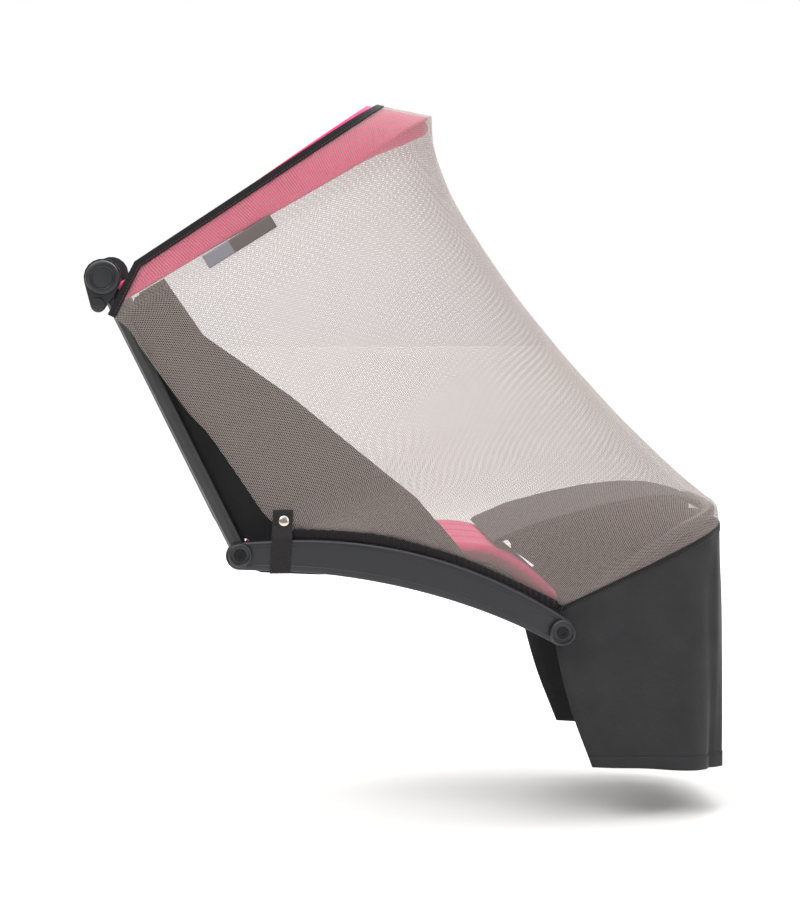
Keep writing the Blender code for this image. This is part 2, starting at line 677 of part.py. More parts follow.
def make_seat():
    for name, side in SIDES:
        low_y, high_y = sorted((side * WING_Y, side * (WING_Y + PLATE)))
        add_plate("wing_" + name, WING_OUTLINE, low_y, high_y, "black_weave")
    add_plate("backrest", band_outline(BACK_LINE, BACK_THICK), -BACK_HALF, BACK_HALF, "black_weave")
    add_plate("seat_pad", band_outline(PAD_LINE, PAD_THICK), -PAD_HALF, PAD_HALF, "pink_cloth", 0.003)
    under = [Vector(place) for place in lowered(PAD_LINE, PAD_THICK + GAP)]
    under.append(under[-1] + (under[-1] - under[-2]).normalized() * SEAT_LIP)
    add_plate("seat_panel", band_outline(under, SEAT_THICK), -SEAT_HALF, SEAT_HALF, "black_weave")
    rings = []
    under = lowered([(row.x, row.z) for row in CALF_ROWS], CALF_THICK)
    for row, (low_x, low_z) in zip(CALF_ROWS, under):
        rings.append(((row.x, -row.half, row.z), (row.x, row.half, row.z),
                      (low_x, row.half, low_z), (low_x, -row.half, low_z)))
    add_loft("calf_rest", rings, "black_weave")


def make_calf_skirts():
    """Side cloths that hang from the calf rest's edges down past the net's seam."""
    for name, side in SIDES:
        rows = []
        for row in SKIRT_ROWS:
            rows.append([Vector((row.x, side * row.half, row.top + (row.bottom - row.top) * share))
                         for share in (0.0, 0.25, 0.5, 0.75, 1.0)])
        add_sheet("calf_skirt_" + name, rows, CLOTH, "black_weave")


def make_foot_bar():
    """A U of bar that spreads the net's foot, with its arms ending beside the seat panel."""
    inset = CLOTH / 2 + EASE + FOOT_BAR_RADIUS + GAP
    arm_start, arm_end = 0.560, Vector((0.395, -0.1544, -0.095))
    front = [point - normal * inset for point, normal, _ in net_stations(FOOT_EDGE)]
    front = [point for point in front if point.x > arm_start]
    far_end = Vector((arm_end.x, -arm_end.y, arm_end.z))
    add_bar("foot_bar", [arm_end] + front + [far_end], FOOT_BAR_RADIUS, "black_steel")


def main():
    remove_everything()
    make_net()
    make_foot_panel()
    make_hood_binding()
    make_rail_bindings()
    make_label()
    make_straps()
    make_rails()
    make_pivots()
    make_hinges()
    make_side_tubes()
    make_cross_bar()
    make_hood_rim()
    make_hood_roll()
    make_seat()
    make_calf_skirts()
    make_foot_bar()


main()
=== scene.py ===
# Stroller mosquito net on its plain seat frame: the looks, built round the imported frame.
# Metres, +Z up, +X the way the seat faces, near side -Y.
import math
import bmesh
import bpy
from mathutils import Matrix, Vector, noise


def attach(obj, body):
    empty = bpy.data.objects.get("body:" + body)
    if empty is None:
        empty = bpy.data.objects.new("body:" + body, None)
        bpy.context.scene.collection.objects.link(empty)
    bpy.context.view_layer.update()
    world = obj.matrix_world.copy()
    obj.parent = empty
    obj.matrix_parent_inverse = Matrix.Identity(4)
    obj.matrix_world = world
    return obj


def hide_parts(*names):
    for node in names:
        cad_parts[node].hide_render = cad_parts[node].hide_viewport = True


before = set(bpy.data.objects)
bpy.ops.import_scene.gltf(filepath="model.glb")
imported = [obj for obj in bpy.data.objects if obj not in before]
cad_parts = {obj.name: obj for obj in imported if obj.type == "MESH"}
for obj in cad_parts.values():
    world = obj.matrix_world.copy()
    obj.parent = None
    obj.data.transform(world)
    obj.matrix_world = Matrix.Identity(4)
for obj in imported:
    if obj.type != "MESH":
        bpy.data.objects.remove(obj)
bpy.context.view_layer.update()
print("frame:", len(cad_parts), "nodes")

tau = 2 * math.pi
sides = (("near", -1), ("far", 1))


# Small tools

def hexColour(code):
    parts = [int(code[k:k + 2], 16) / 255 for k in (1, 3, 5)]
    linear = [c / 12.92 if c <= 0.04045 else ((c + 0.055) / 1.055) ** 2.4 for c in parts]
    return (*linear, 1.0)


def newMaterial(name, colour, **sockets):
    made = bpy.data.materials.new(name)
    made.use_nodes = True
    shader = made.node_tree.nodes["Principled BSDF"]
    shader.inputs["Base Color"].default_value = hexColour(colour)
    for socket, value in sockets.items():
        shader.inputs[socket.replace("_", " ")].default_value = value
    return made, shader


def addNode(material, kind, feeds=None, **settings):
    # feeds: input name or number -> a number, a colour, or another node's output
    made = material.node_tree.nodes.new("ShaderNode" + kind)
    for field, value in settings.items():
        setattr(made, field, value)
    for socket, value in (feeds or {}).items():
        if isinstance(value, bpy.types.NodeSocket):
            material.node_tree.links.new(value, made.inputs[socket])
        else:
            made.inputs[socket].default_value = value
    return made


def joinSockets(material, output, target):
    material.node_tree.links.new(output, target)


def smoothStep(low, high, value):
    part = min(max((value - low) / (high - low), 0.0), 1.0)
    return part * part * (3 - 2 * part)


# Mesh tools. Cloth and lofted meshes get a UV map in metres, so that patterns keep their real size.

def meshPiece(name, points, faces, material, uvs=None, sharp=None):
    mesh = bpy.data.meshes.new(name)
    mesh.from_pydata([tuple(p) for p in points], [], faces)
    if uvs:
        layer = mesh.uv_layers.new(name="metres")
        for loop in mesh.loops:
            layer.data[loop.index].uv = uvs[loop.vertex_index]
    mesh.shade_smooth()
    if sharp:
        mesh.set_sharp_from_angle(angle=math.radians(sharp))
    piece = bpy.data.objects.new(name, mesh)
    bpy.context.scene.collection.objects.link(piece)
    mesh.materials.append(material)
    return piece


def gridUvs(rows):
    # across from the middle column, down from the first row, both as lengths along the cloth
    columns = len(rows[0])
    middle = columns // 2
    uvs, down = [], [0.0] * columns
    for i, row in enumerate(rows):
        if i:
            down = [d + (Vector(p) - Vector(q)).length for d, p, q in zip(down, row, rows[i - 1])]
        run = [0.0]
        for one, two in zip(row, row[1:]):
            run.append(run[-1] + (Vector(two) - Vector(one)).length)
        uvs += [(r - run[middle], -d) for r, d in zip(run, down)]
    return uvs


def gridFaces(rowCount, columns, closed=False):
    faces = []
    for i in range(rowCount - 1):
        for j in range(columns if closed else columns - 1):
            k = (j + 1) % columns
            faces.append((i * columns + j, (i + 1) * columns + j, (i + 1) * columns + k, i * columns + k))
    return faces


def clothPiece(name, rows, thick, material):
    piece = meshPiece(name, [p for row in rows for p in row], gridFaces(len(rows), len(rows[0])), material,
                      gridUvs(rows))
    solid = piece.modifiers.new("thickness", "SOLIDIFY")
    solid.thickness, solid.offset, solid.use_even_offset = thick, 0.0, True
    return piece


def loftPiece(name, rings, material, sharp=40, ends=True):
    # a closed body through rings of points, its ends closed
    count = len(rings[0])
    points, uvs, along = [], [], 0.0
    for i, ring in enumerate(rings):
        if i:
            middles = [sum((Vector(p) for p in r), Vector()) / count for r in (ring, rings[i - 1])]
            along += (middles[0] - middles[1]).length
        run = 0.0
        for j, point in enumerate(ring):
            if j:
                run += (Vector(point) - Vector(ring[j - 1])).length
            points.append(point)
            uvs.append((run, along))
    faces = gridFaces(len(rings), count, closed=True)
    if ends:
        faces.append(tuple(range(count)))
        faces.append(tuple(range(len(points) - 1, len(points) - 1 - count, -1)))
    piece = meshPiece(name, points, faces, material, uvs, sharp)
    faceOut(piece)
    return piece


def faceOut(piece):
    shape = bmesh.new()
    shape.from_mesh(piece.data)
    bmesh.ops.recalc_face_normals(shape, faces=shape.faces)
    shape.to_mesh(piece.data)
    shape.free()


def tubePiece(name, path, radius, material, around=20):
    # a round bar along a path, kept from twisting; radius may be one number or one for each point
    radii = radius if hasattr(radius, "__len__") else [radius] * len(path)
    tangents = []
    for k in range(len(path)):
        tangents.append((path[min(k + 1, len(path) - 1)] - path[max(k - 1, 0)]).normalized())
    side = tangents[0].orthogonal().normalized()
    rings = []
    for point, tangent, r in zip(path, tangents, radii):
        side = (side - tangent * side.dot(tangent)).normalized()
        other = tangent.cross(side)
        rings.append([point + (side * math.cos(tau * k / around) + other * math.sin(tau * k / around)) * r
                      for k in range(around)])
    return loftPiece(name, rings, material, sharp=50)


def turnedPiece(name, profile, place, side, material, lean=0.0, around=48):
    # a turned part on an axis across the seat: profile of (radius, distance from the middle of the seat)
    rings = []
    for radius, out in profile:
        ring = []
        for k in range(around):
            angle = tau * k / around
            up = math.sin(angle) * radius
            ring.append((place[0] + math.cos(angle) * radius, side * (out - lean * up), place[1] + up))
        rings.append(ring)
    return loftPiece(name, rings, material, sharp=35)


def resample(points, count):
    # the same line with evenly spaced points
    runs = [0.0]
    for one, two in zip(points, points[1:]):
        runs.append(runs[-1] + (two - one).length)
    line, k = [], 0
    for n in range(count):
        wanted = runs[-1] * n / (count - 1)
        while k < len(points) - 2 and runs[k + 1] < wanted:
            k += 1
        part = (wanted - runs[k]) / max(runs[k + 1] - runs[k], 1e-9)
        line.append(points[k].lerp(points[k + 1], min(max(part, 0.0), 1.0)))
    return line


def stitchLine(name, points, normals, material, stitch=0.0028, gap=0.0012, thread=0.0007):
    # a row of separate stitches lying on a line of points
    verts, faces, travelled, start = [], [], 0.0, None
    runs = [0.0]
    for one, two in zip(points, points[1:]):
        runs.append(runs[-1] + (two - one).length)

    def at(distance):
        k = 0
        while k < len(points) - 2 and runs[k + 1] < distance:
            k += 1
        part = (distance - runs[k]) / max(runs[k + 1] - runs[k], 1e-9)
        return points[k].lerp(points[k + 1], part), normals[k].lerp(normals[k + 1], part).normalized()

    while travelled + stitch < runs[-1]:
        (start, up), (end, _) = at(travelled), at(travelled + stitch)
        along = (end - start).normalized()
        across = along.cross(up).normalized()
        base = len(verts)
        for part, size in ((0.0, 0.35), (0.25, 1.0), (0.75, 1.0), (1.0, 0.35)):
            middle = start.lerp(end, part) + up * thread * 0.25 * size
            for k in range(6):
                angle = tau * k / 6
                verts.append(middle + (across * math.cos(angle) + up * math.sin(angle)) * thread / 2 * size)
        for ring in range(3):
            for k in range(6):
                m = (k + 1) % 6
                faces.append((base + ring * 6 + k, base + ring * 6 + m, base + ring * 6 + 6 + m,
                              base + ring * 6 + 6 + k))
        faces.append(tuple(base + k for k in range(5, -1, -1)))
        faces.append(tuple(base + 18 + k for k in range(6)))
        travelled += stitch + gap
    return meshPiece(name, verts, faces, material)


# The net's shape: hoops from the near edge round the front to the far edge, as the frame has them

netShape = {
    # edge x, edge z, front x, front z, half width at the edge, half width at the front, fullness
    "hoops": (
        (-0.1190, 0.3525, 0.1900, 0.5555, 0.1730, 0.1650, 4.5),
        (-0.1350, 0.3220, 0.2510, 0.5440, 0.1732, 0.1640, 4.5),
        (-0.1510, 0.2900, 0.2545, 0.5065, 0.1735, 0.1600, 4.2),
        (-0.1330, 0.2741, 0.2675, 0.4680, 0.1740, 0.1550, 3.9),
        (-0.1150, 0.2458, 0.2860, 0.4300, 0.1745, 0.1500, 3.6),
        (-0.0677, 0.1802, 0.3225, 0.3730, 0.1755, 0.1450, 3.3),
        (-0.0371, 0.1455, 0.3640, 0.3150, 0.1765, 0.1400, 3.1),
        (0.0000, 0.0920, 0.3950, 0.2765, 0.1780, 0.1360, 3.0),
        (0.0351, 0.0421, 0.4270, 0.2380, 0.1800, 0.1340, 3.0),
        (0.0672, 0.0257, 0.4620, 0.1990, 0.1810, 0.1330, 3.1),
        (0.1393, 0.0213, 0.4980, 0.1595, 0.1820, 0.1340, 3.3),
        (0.1918, 0.0132, 0.5375, 0.1200, 0.1820, 0.1360, 3.6),
        (0.2745, -0.0116, 0.5785, 0.0810, 0.1815, 0.1400, 4.2),
        (0.3442, -0.0430, 0.6105, 0.0540, 0.1790, 0.1440, 4.8),
        (0.3760, -0.0585, 0.6235, 0.0430, 0.1765, 0.1450, 5.0),
        (0.4057, -0.0735, 0.6270, 0.0225, 0.1740, 0.1450, 5.0),
    ),
    "footHoops": (
        (0.4057, -0.0740, 0.6270, 0.0219, 0.1725, 0.1450, 5.0),
        (0.3980, -0.1200, 0.6300, -0.0600, 0.1690, 0.1460, 5.0),
        (0.4180, -0.2050, 0.6335, -0.1800, 0.1620, 0.1450, 4.6),
        (0.4480, -0.2850, 0.6340, -0.2990, 0.1540, 0.1420, 4.2),
    ),
    "edgeCreases": (2, 9),
    "frontCreases": (1,),
}
seam = len(netShape["hoops"]) - 1
railStart = 9


def smoothValue(values, place, creases):
    last = len(values) - 1
    row = min(max(math.floor(place), 0), last - 1)
    part = place - row
    start, end = values[row], values[row + 1]
    before = values[row - 1] if row > 0 and row not in creases else 2 * start - end
    after = values[row + 2] if row + 2 <= last and row + 1 not in creases else 2 * end - start
    startSlope, endSlope = (end - before) / 2, (after - start) / 2
    if part < 0:
        return start + startSlope * part
    square, cube = part ** 2, part ** 3
    return (start * (2 * cube - 3 * square + 1) + end * (3 * square - 2 * cube)
            + startSlope * (cube - 2 * square + part) + endSlope * (cube - square))


def hoopAt(table, place, edgeCreases=(), frontCreases=()):
    values = []
    for field in range(7):
        creases = frontCreases if field in (2, 3, 5) else edgeCreases
        values.append(smoothValue([hoop[field] for hoop in table], place, creases))
    return values


def netHoop(place):
    return hoopAt(netShape["hoops"], place, netShape["edgeCreases"], netShape["frontCreases"])


def hoopPoints(hoop, half=46):
    # points round one hoop, closer together in its bends
    edgeX, edgeZ, frontX, frontZ, edgeHalf, frontHalf, fullness = hoop
    steps = 320
    edge = Vector((edgeX, 0.0, edgeZ))
    chord = Vector((frontX, 0.0, frontZ)) - edge
    fine = []
    for k in range(steps + 1):
        turn = math.pi / 2 * k / steps
        share = math.sin(turn) ** (2 / fullness)
        full = edgeHalf + (frontHalf - edgeHalf) * share
        across = full * max(math.cos(turn), 0.0) ** (2 / fullness)
        point = edge + chord * share
        fine.append(Vector((point.x, across, point.z)))
    fine[-1].y = 0.0
    runs = [two - one for one, two in zip(fine, fine[1:])]
    length = sum(run.length for run in runs)
    bends = [0.0] + [one.angle(two) for one, two in zip(runs, runs[1:])]
    turned = sum(bends)
    costs = [0.0]
    for run, bend in zip(runs, bends):
        costs.append(costs[-1] + run.length / length + 0.9 * bend / turned)
    points, k = [], 0
    for column in range(half + 1):
        wanted = costs[-1] * column / half
        while k < steps - 1 and costs[k + 1] < wanted:
            k += 1
        part = min((wanted - costs[k]) / (costs[k + 1] - costs[k]), 1.0)
        points.append(fine[k].lerp(fine[k + 1], part))
    near = [Vector((p.x, -p.y, p.z)) for p in points]
    return near + points[-2::-1]


def netStations(place, half=46):
    # point, outward normal and downward direction at each column
    here, below = hoopPoints(netHoop(place), half), hoopPoints(netHoop(place + 0.02), half)
    stations = []
    for j, point in enumerate(here):
        along = here[min(j + 1, len(here) - 1)] - here[max(j - 1, 0)]
        normal = (below[j] - point).cross(along).normalized()
        stations.append((point, normal, along.cross(normal).normalized()))
    return stations


def sideWall(x, z):
    # half width of the net's side wall at one point of the side view
    low, high = 0.0, float(seam)
    for _ in range(36):
        middle = (low + high) / 2
        edgeX, edgeZ, frontX, frontZ, edgeHalf, frontHalf, fullness = netHoop(middle)
        above = (frontX - edgeX) * (z - edgeZ) - (frontZ - edgeZ) * (x - edgeX)
        low, high = (low, middle) if above > 0 else (middle, high)
    chordX, chordZ = frontX - edgeX, frontZ - edgeZ
    share = ((x - edgeX) * chordX + (z - edgeZ) * chordZ) / (chordX ** 2 + chordZ ** 2)
    share = min(max(share, 0.0), 1.0)
    full = edgeHalf + (frontHalf - edgeHalf) * share
    return full * (1 - share ** fullness) ** (1 / fullness)


# Materials

netLook = {"thread": "#A89B96", "meshSize": 0.0024, "coverEdge": -0.92, "softness": 0.16, "grainTurn": 9.0}


def makeNetMaterial():
    # Warp-knitted polyester net: fine matt thread round six-sided holes, so it reads as a taupe haze
    # that closes up where the cloth turns away. Real holes are 1.2 mm; drawn at 2.4 mm so they show.
    made, shader = newMaterial("warp-knitted polyester net", netLook["thread"], Roughness=0.75,
                               Specular_IOR_Level=0.25, Sheen_Weight=0.15, Sheen_Roughness=0.5)
    metres = addNode(made, "UVMap", uv_map="metres")
    wave = 2 * tau / (math.sqrt(3) * netLook["meshSize"])
    total = None
    for step in range(3):
        angle = math.radians(netLook["grainTurn"] + 60 * step)
        across = addNode(made, "VectorMath", {0: metres.outputs["UV"], 1: (math.cos(angle) * wave,
                         math.sin(angle) * wave, 0)}, operation="DOT_PRODUCT")
        ripple = addNode(made, "Math", {0: across.outputs["Value"]}, operation="COSINE")
        total = ripple if total is None else addNode(made, "Math", {0: total.outputs[0], 1: ripple.outputs[0]},
                                                     operation="ADD")
    edge, soft = netLook["coverEdge"], netLook["softness"]
    alpha = addNode(made, "MapRange", {"Value": total.outputs[0], "From Min": edge + soft,
                                       "From Max": edge - soft, "To Min": 0.0, "To Max": 1.0},
                    interpolation_type="SMOOTHSTEP")
    joinSockets(made, alpha.outputs["Result"], shader.inputs["Alpha"])
    return made


def weaveHeight(made, metres, warp, weft):
    # over-and-under height of a plain weave from thread spacings in metres
    parts = addNode(made, "SeparateXYZ", {0: metres})
    waves = []
    for axis, pitch in (("X", warp), ("Y", weft)):
        scaled = addNode(made, "Math", {0: parts.outputs[axis], 1: tau / 2 / pitch}, operation="MULTIPLY")
        waves.append(addNode(made, "Math", {0: scaled.outputs[0]}, operation="SINE"))
    return addNode(made, "Math", {0: waves[0].outputs[0], 1: waves[1].outputs[0]}, operation="MULTIPLY")


def makeClothMaterial(name, colour, paleAndLitColour, thread, bump, rough, sheen, mottleSize):
    # a woven cloth: over-and-under bump, thread tops painted slightly lighter and gaps slightly darker (painted
    # highlight and painted shade), faint mottling of its own tone
    made, shader = newMaterial(name, colour, Roughness=rough, Specular_IOR_Level=0.3, Sheen_Weight=sheen,
                               Sheen_Roughness=0.45)
    metres = addNode(made, "UVMap", uv_map="metres")
    weave = weaveHeight(made, metres.outputs["UV"], thread, thread)
    place = addNode(made, "TexCoord")
    mottle = addNode(made, "TexNoise", {"Vector": place.outputs["Object"], "Scale": 1 / mottleSize, "Detail": 4.0,
                                        "Roughness": 0.55})
    # painted highlight on the thread tops and painted shade in the gaps, from the weave height, mixed with the
    # cloth's real mottling
    share = addNode(made, "Math", {0: weave.outputs[0], 1: 0.22, 2: mottle.outputs[0]}, operation="MULTIPLY_ADD")
    blend = addNode(made, "MapRange", {"Value": share.outputs[0], "From Min": 0.2, "From Max": 0.8})
    mixed = addNode(made, "Mix", {0: blend.outputs["Result"], 6: hexColour(colour), 7: hexColour(paleAndLitColour)},
                    data_type="RGBA")
    joinSockets(made, mixed.outputs[2], shader.inputs["Base Color"])
    lift = addNode(made, "Bump", {"Height": weave.outputs[0], "Distance": bump, "Strength": 0.6})
    joinSockets(made, lift.outputs[0], shader.inputs["Normal"])
    return made


def makeRibbedMaterial(name, colour, paleAndLitColour, rib, bump, rough):
    # knitted elastic or webbing: fine ribs across, with a thread line along; the rib tops are painted lighter and the
    # hollows darker, painted highlight and painted shade
    made, shader = newMaterial(name, colour, Roughness=rough, Specular_IOR_Level=0.3, Sheen_Weight=0.12,
                               Sheen_Roughness=0.5)
    metres = addNode(made, "UVMap", uv_map="metres")
    weave = weaveHeight(made, metres.outputs["UV"], rib * 1.6, rib)
    # painted shade in the rib hollows and painted highlight on the rib tops
    blend = addNode(made, "MapRange", {"Value": weave.outputs[0], "From Min": -1.0, "From Max": 1.0})
    mixed = addNode(made, "Mix", {0: blend.outputs["Result"], 6: hexColour(colour), 7: hexColour(paleAndLitColour)},
                    data_type="RGBA")
    joinSockets(made, mixed.outputs[2], shader.inputs["Base Color"])
    lift = addNode(made, "Bump", {"Height": weave.outputs[0], "Distance": bump, "Strength": 0.7})
    joinSockets(made, lift.outputs[0], shader.inputs["Normal"])
    return made


def makeMouldedMaterial(name, colour, rough, grain, bump):
    # moulded nylon: spark-eroded grain, so highlights are soft, and slightly uneven gloss
    made, shader = newMaterial(name, colour, Roughness=rough, IOR=1.53)
    place = addNode(made, "TexCoord")
    grainNode = addNode(made, "TexNoise", {"Vector": place.outputs["Object"], "Scale": 1 / grain, "Detail": 3.0})
    wide = addNode(made, "TexNoise", {"Vector": place.outputs["Object"], "Scale": 1 / 0.03, "Detail": 2.0})
    gloss = addNode(made, "MapRange", {"Value": wide.outputs[0], "From Min": 0.3, "From Max": 0.7,
                                       "To Min": rough - 0.05, "To Max": rough + 0.06})
    joinSockets(made, gloss.outputs["Result"], shader.inputs["Roughness"])
    lift = addNode(made, "Bump", {"Height": grainNode.outputs[0], "Distance": bump, "Strength": 0.5})
    joinSockets(made, lift.outputs[0], shader.inputs["Normal"])
    return made


labelLook = {"left": "#76737B", "right": "#5A514F", "split": 0.38}


def makeLabelMaterial(length):
    # woven damask label: fine satin ribs along it, in two plain tones, with painted shade in the rib hollows and
    # painted highlight on the rib tops
    made, shader = newMaterial("damask-woven polyester label", labelLook["right"], Roughness=0.5,
                               Specular_IOR_Level=0.4, Sheen_Weight=0.1)
    metres = addNode(made, "UVMap", uv_map="metres")
    parts = addNode(made, "SeparateXYZ", {0: metres.outputs["UV"]})
    cut = length * (labelLook["split"] - 0.5)
    step = addNode(made, "MapRange", {"Value": parts.outputs["X"], "From Min": cut - 0.0004,
                                      "From Max": cut + 0.0004})
    mixed = addNode(made, "Mix", {0: step.outputs["Result"], 6: hexColour(labelLook["left"]),
                                  7: hexColour(labelLook["right"])}, data_type="RGBA")
    ribs = weaveHeight(made, metres.outputs["UV"], 0.0018, 0.0009)
    # painted shade and painted highlight: the colour runs from 0.86 to 1.06 of itself across each rib
    shade = addNode(made, "MapRange", {"Value": ribs.outputs[0], "From Min": -1.0, "From Max": 1.0,
                                       "To Min": 0.86, "To Max": 1.06})
    ribShadedColour = addNode(made, "Mix", {0: 1.0, 6: mixed.outputs[2], 7: shade.outputs["Result"]}, data_type="RGBA",
                    blend_type="MULTIPLY")
    joinSockets(made, ribShadedColour.outputs[2], shader.inputs["Base Color"])
    lift = addNode(made, "Bump", {"Height": ribs.outputs[0], "Distance": 0.0002, "Strength": 0.5})
    joinSockets(made, lift.outputs[0], shader.inputs["Normal"])
    return made


def makeNickelMaterial():
    # polished nickel plate on a pressed brass cap: bright, with faint handling marks
    made, shader = newMaterial("nickel-plated brass, polished", "#CFC7BC", Metallic=1.0, Roughness=0.22)
    place = addNode(made, "TexCoord")
    marks = addNode(made, "TexNoise", {"Vector": place.outputs["Object"], "Scale": 1 / 0.0015, "Detail": 5.0})
    gloss = addNode(made, "MapRange", {"Value": marks.outputs[0], "To Min": 0.14, "To Max": 0.32})
    joinSockets(made, gloss.outputs["Result"], shader.inputs["Roughness"])
    return made


netThread = makeNetMaterial()
# Threads are about 0.3 mm in life; the weave is drawn at 1.6 to 1.8 mm so that it shows
# each cloth's second colour is the painted highlight on its thread or rib tops, over painted shade in the gaps; in
# the woven cloths it is also the pale side of the mottling
footCloth = makeClothMaterial("plain-woven polyester, black", "#1D1D1F", "#29292B", thread=0.0016, bump=0.0002,
                              rough=0.75, sheen=0.10, mottleSize=0.05)
seatCloth = makeClothMaterial("canvas-woven polyester, black", "#121214", "#1E1E20", thread=0.0018, bump=0.0003,
                              rough=0.8, sheen=0.08, mottleSize=0.05)
pinkCloth = makeClothMaterial("plain-woven polyester, pink", "#DC1E66", "#EC3C7E", thread=0.0016, bump=0.0002,
                              rough=0.75, sheen=0.25, mottleSize=0.03)
elasticTape = makeRibbedMaterial("knitted elastic tape, black", "#0B0709", "#171114", 0.0013, 0.0004, 0.85)
webbingCloth = makeRibbedMaterial("nylon webbing, woven, black", "#0C0A0B", "#1B1719", 0.0016, 0.0004, 0.75)
threadMaterial, _ = newMaterial("bonded polyester sewing thread, black", "#2E2B2D", Roughness=0.55,
                                Sheen_Weight=0.2)
pinkThread, _ = newMaterial("bonded polyester sewing thread, pink", "#D83B78", Roughness=0.55,
                            Sheen_Weight=0.2)
nylonBlack = makeMouldedMaterial("glass-filled nylon, moulded, black", "#101116", 0.40, 0.0012, 0.00004)
steelPaint = makeMouldedMaterial("steel tube, powder-coated, black", "#0E0E10", 0.40, 0.0020, 0.00006)
screwSteel, _ = newMaterial("zinc-plated steel screw, blackened", "#1C1C1F", Metallic=0.7, Roughness=0.38)
nickel = makeNickelMaterial()
print("materials made")


# The net

netPiece = {"rowsPerHoop": 8, "thick": 0.0004, "pucker": 0.0007, "puckerLength": 0.0085, "puckerReach": 0.016}


def makeNet():
    per = netPiece["rowsPerHoop"]
    rows = []
    for i in range(seam * per + 1):
        place = i / per
        stations = netStations(place)
        edgeRuns = [0.0]
        for (one, _, _), (two, _, _) in zip(stations, stations[1:]):
            edgeRuns.append(edgeRuns[-1] + (two - one).length)
        row = []
        for (point, normal, _), run in zip(stations, edgeRuns):
            fromEdge = min(run, edgeRuns[-1] - run)
            fade = 1 - smoothStep(0.0, netPiece["puckerReach"], fromEdge)
            fade *= smoothStep(railStart - 0.2, railStart + 0.4, place)
            pucker = netPiece["pucker"] * math.sin(tau * point.x / netPiece["puckerLength"])
            row.append(point + normal * pucker * fade)
        rows.append(row)
    piece = clothPiece("netCloth", rows, netPiece["thick"], netThread)
    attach(piece, "root")
    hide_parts("net")
    return piece, rows


netCloth, netRows = makeNet()
print("net:", len(netRows), "rows")


# The foot panel

footPiece = {"rows": 56, "thick": 0.0009}
# place round the hoop (-1 near edge, 1 far edge), width, depth at the hem
footFolds = ((-0.86, 0.07, -0.006), (-0.66, 0.09, 0.004), (-0.46, 0.06, -0.005), (-0.30, 0.05, 0.003),
             (0.12, 0.10, -0.004), (0.38, 0.07, 0.004), (0.60, 0.09, -0.005), (0.84, 0.08, 0.005))


def makeFootPanel():
    rows, normalRows = [], []
    half = 46
    for i in range(footPiece["rows"]):
        drop = i / (footPiece["rows"] - 1)
        plain = hoopPoints(hoopAt(netShape["footHoops"], drop * 3), half)
        row, normals = [], []
        for j, point in enumerate(plain):
            along = plain[min(j + 1, 2 * half)] - plain[max(j - 1, 0)]
            outward = Vector((along.y, -along.x, 0.0)).normalized()
            place = (j - half) / half
            depth = sum(d * math.exp(-((place - p) / w) ** 2) for p, w, d in footFolds) * drop ** 1.5
            small = noise.noise(Vector((place * 9, drop * 2.2, 3.0))) * 0.0022 * smoothStep(0.0, 0.25, drop)
            gather = math.sin(place * 260) * 0.0005 * (1 - smoothStep(0.0, 0.12, drop))
            row.append(point + outward * (depth + small + gather))
            normals.append(outward)
        rows.append(row)
        normalRows.append(normals)
    piece = clothPiece("footPanelCloth", rows, footPiece["thick"], footCloth)
    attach(piece, "root")
    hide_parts("foot_panel")
    return piece, rows, normalRows


footPanel, footRows, footNormals = makeFootPanel()


def hemStrip(name, rows, normals, material, thick=0.0007):
    # a narrow second layer of cloth lying just outside the first
    lifted = [[p + n * (footPiece["thick"] / 2 + thick / 2 + 0.0001) for p, n in zip(row, ns)]
              for row, ns in zip(rows, normals)]
    piece = clothPiece(name, lifted, thick, material)
    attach(piece, "root")
    return piece, lifted


footHem, hemRows = hemStrip("footHem", footRows[-4:], footNormals[-4:], footCloth)
footStitches = stitchLine("footHemStitches", hemRows[0], footNormals[-4], threadMaterial)
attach(footStitches, "root")
seamTape, _ = hemStrip("footSeamTape", footRows[:3], footNormals[:3], elasticTape)
print("foot panel:", len(footRows), "rows")


# Binding tape over the net's front edge

bindingPiece = {"wide": 0.010, "thick": 0.0025, "gap": 0.0003}


def makeHoodBinding():
    stations = [(p, n, -d) for p, n, d in netStations(0.0)]
    for side in (-1, 1):
        leg = []
        hoops = [netHoop(k / 8) for k in range(17)]
        for one, two in zip(hoops, hoops[1:]):
            run = Vector((two[0] - one[0], 0.0, two[1] - one[1])).normalized()
            leg.append((Vector((two[0], side * two[4], two[1])), Vector((0, side, 0)),
                        Vector((run.z, 0.0, -run.x))))
        end = 0 if side < 0 else -1
        corner, normal, back = stations[end]
        mitre = (back + leg[0][2]).normalized()
        stations[end] = (corner, normal, mitre / mitre.dot(back))
        stations = leg[::-1] + stations if side < 0 else stations + leg
    rings, stitches, outs = [], [], []
    wide, thick = bindingPiece["wide"], bindingPiece["thick"]
    # folded tape: full at the fold, a little pinched along the stitching, open at its edges
    outline = ((0.0, 0.30), (0.02, 0.46), (0.08, 0.50), (0.20, 0.40), (0.30, 0.40), (0.55, 0.50), (0.80, 0.50),
               (0.94, 0.40), (1.0, 0.18))
    for k, (point, normal, back) in enumerate(stations):
        ring = [point + back * (bindingPiece["gap"] + wide * a) + normal * thick * b for a, b in outline]
        ring += [point + back * (bindingPiece["gap"] + wide * a) - normal * thick * b for a, b in outline[::-1]]
        rings.append(ring)
        stitches.append(point + back * (bindingPiece["gap"] + wide * 0.25) + normal * thick * 0.40)
        outs.append(normal)
    piece = loftPiece("bindingTape", rings, elasticTape, sharp=60)
    thread = stitchLine("bindingStitches", stitches, outs, threadMaterial)
    for made in (piece, thread):
        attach(made, "root")
    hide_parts("hood_binding")
    return piece, thread


bindingTape, bindingStitches = makeHoodBinding()
print("hood binding done")


# Rails, and the gathered elastic on them

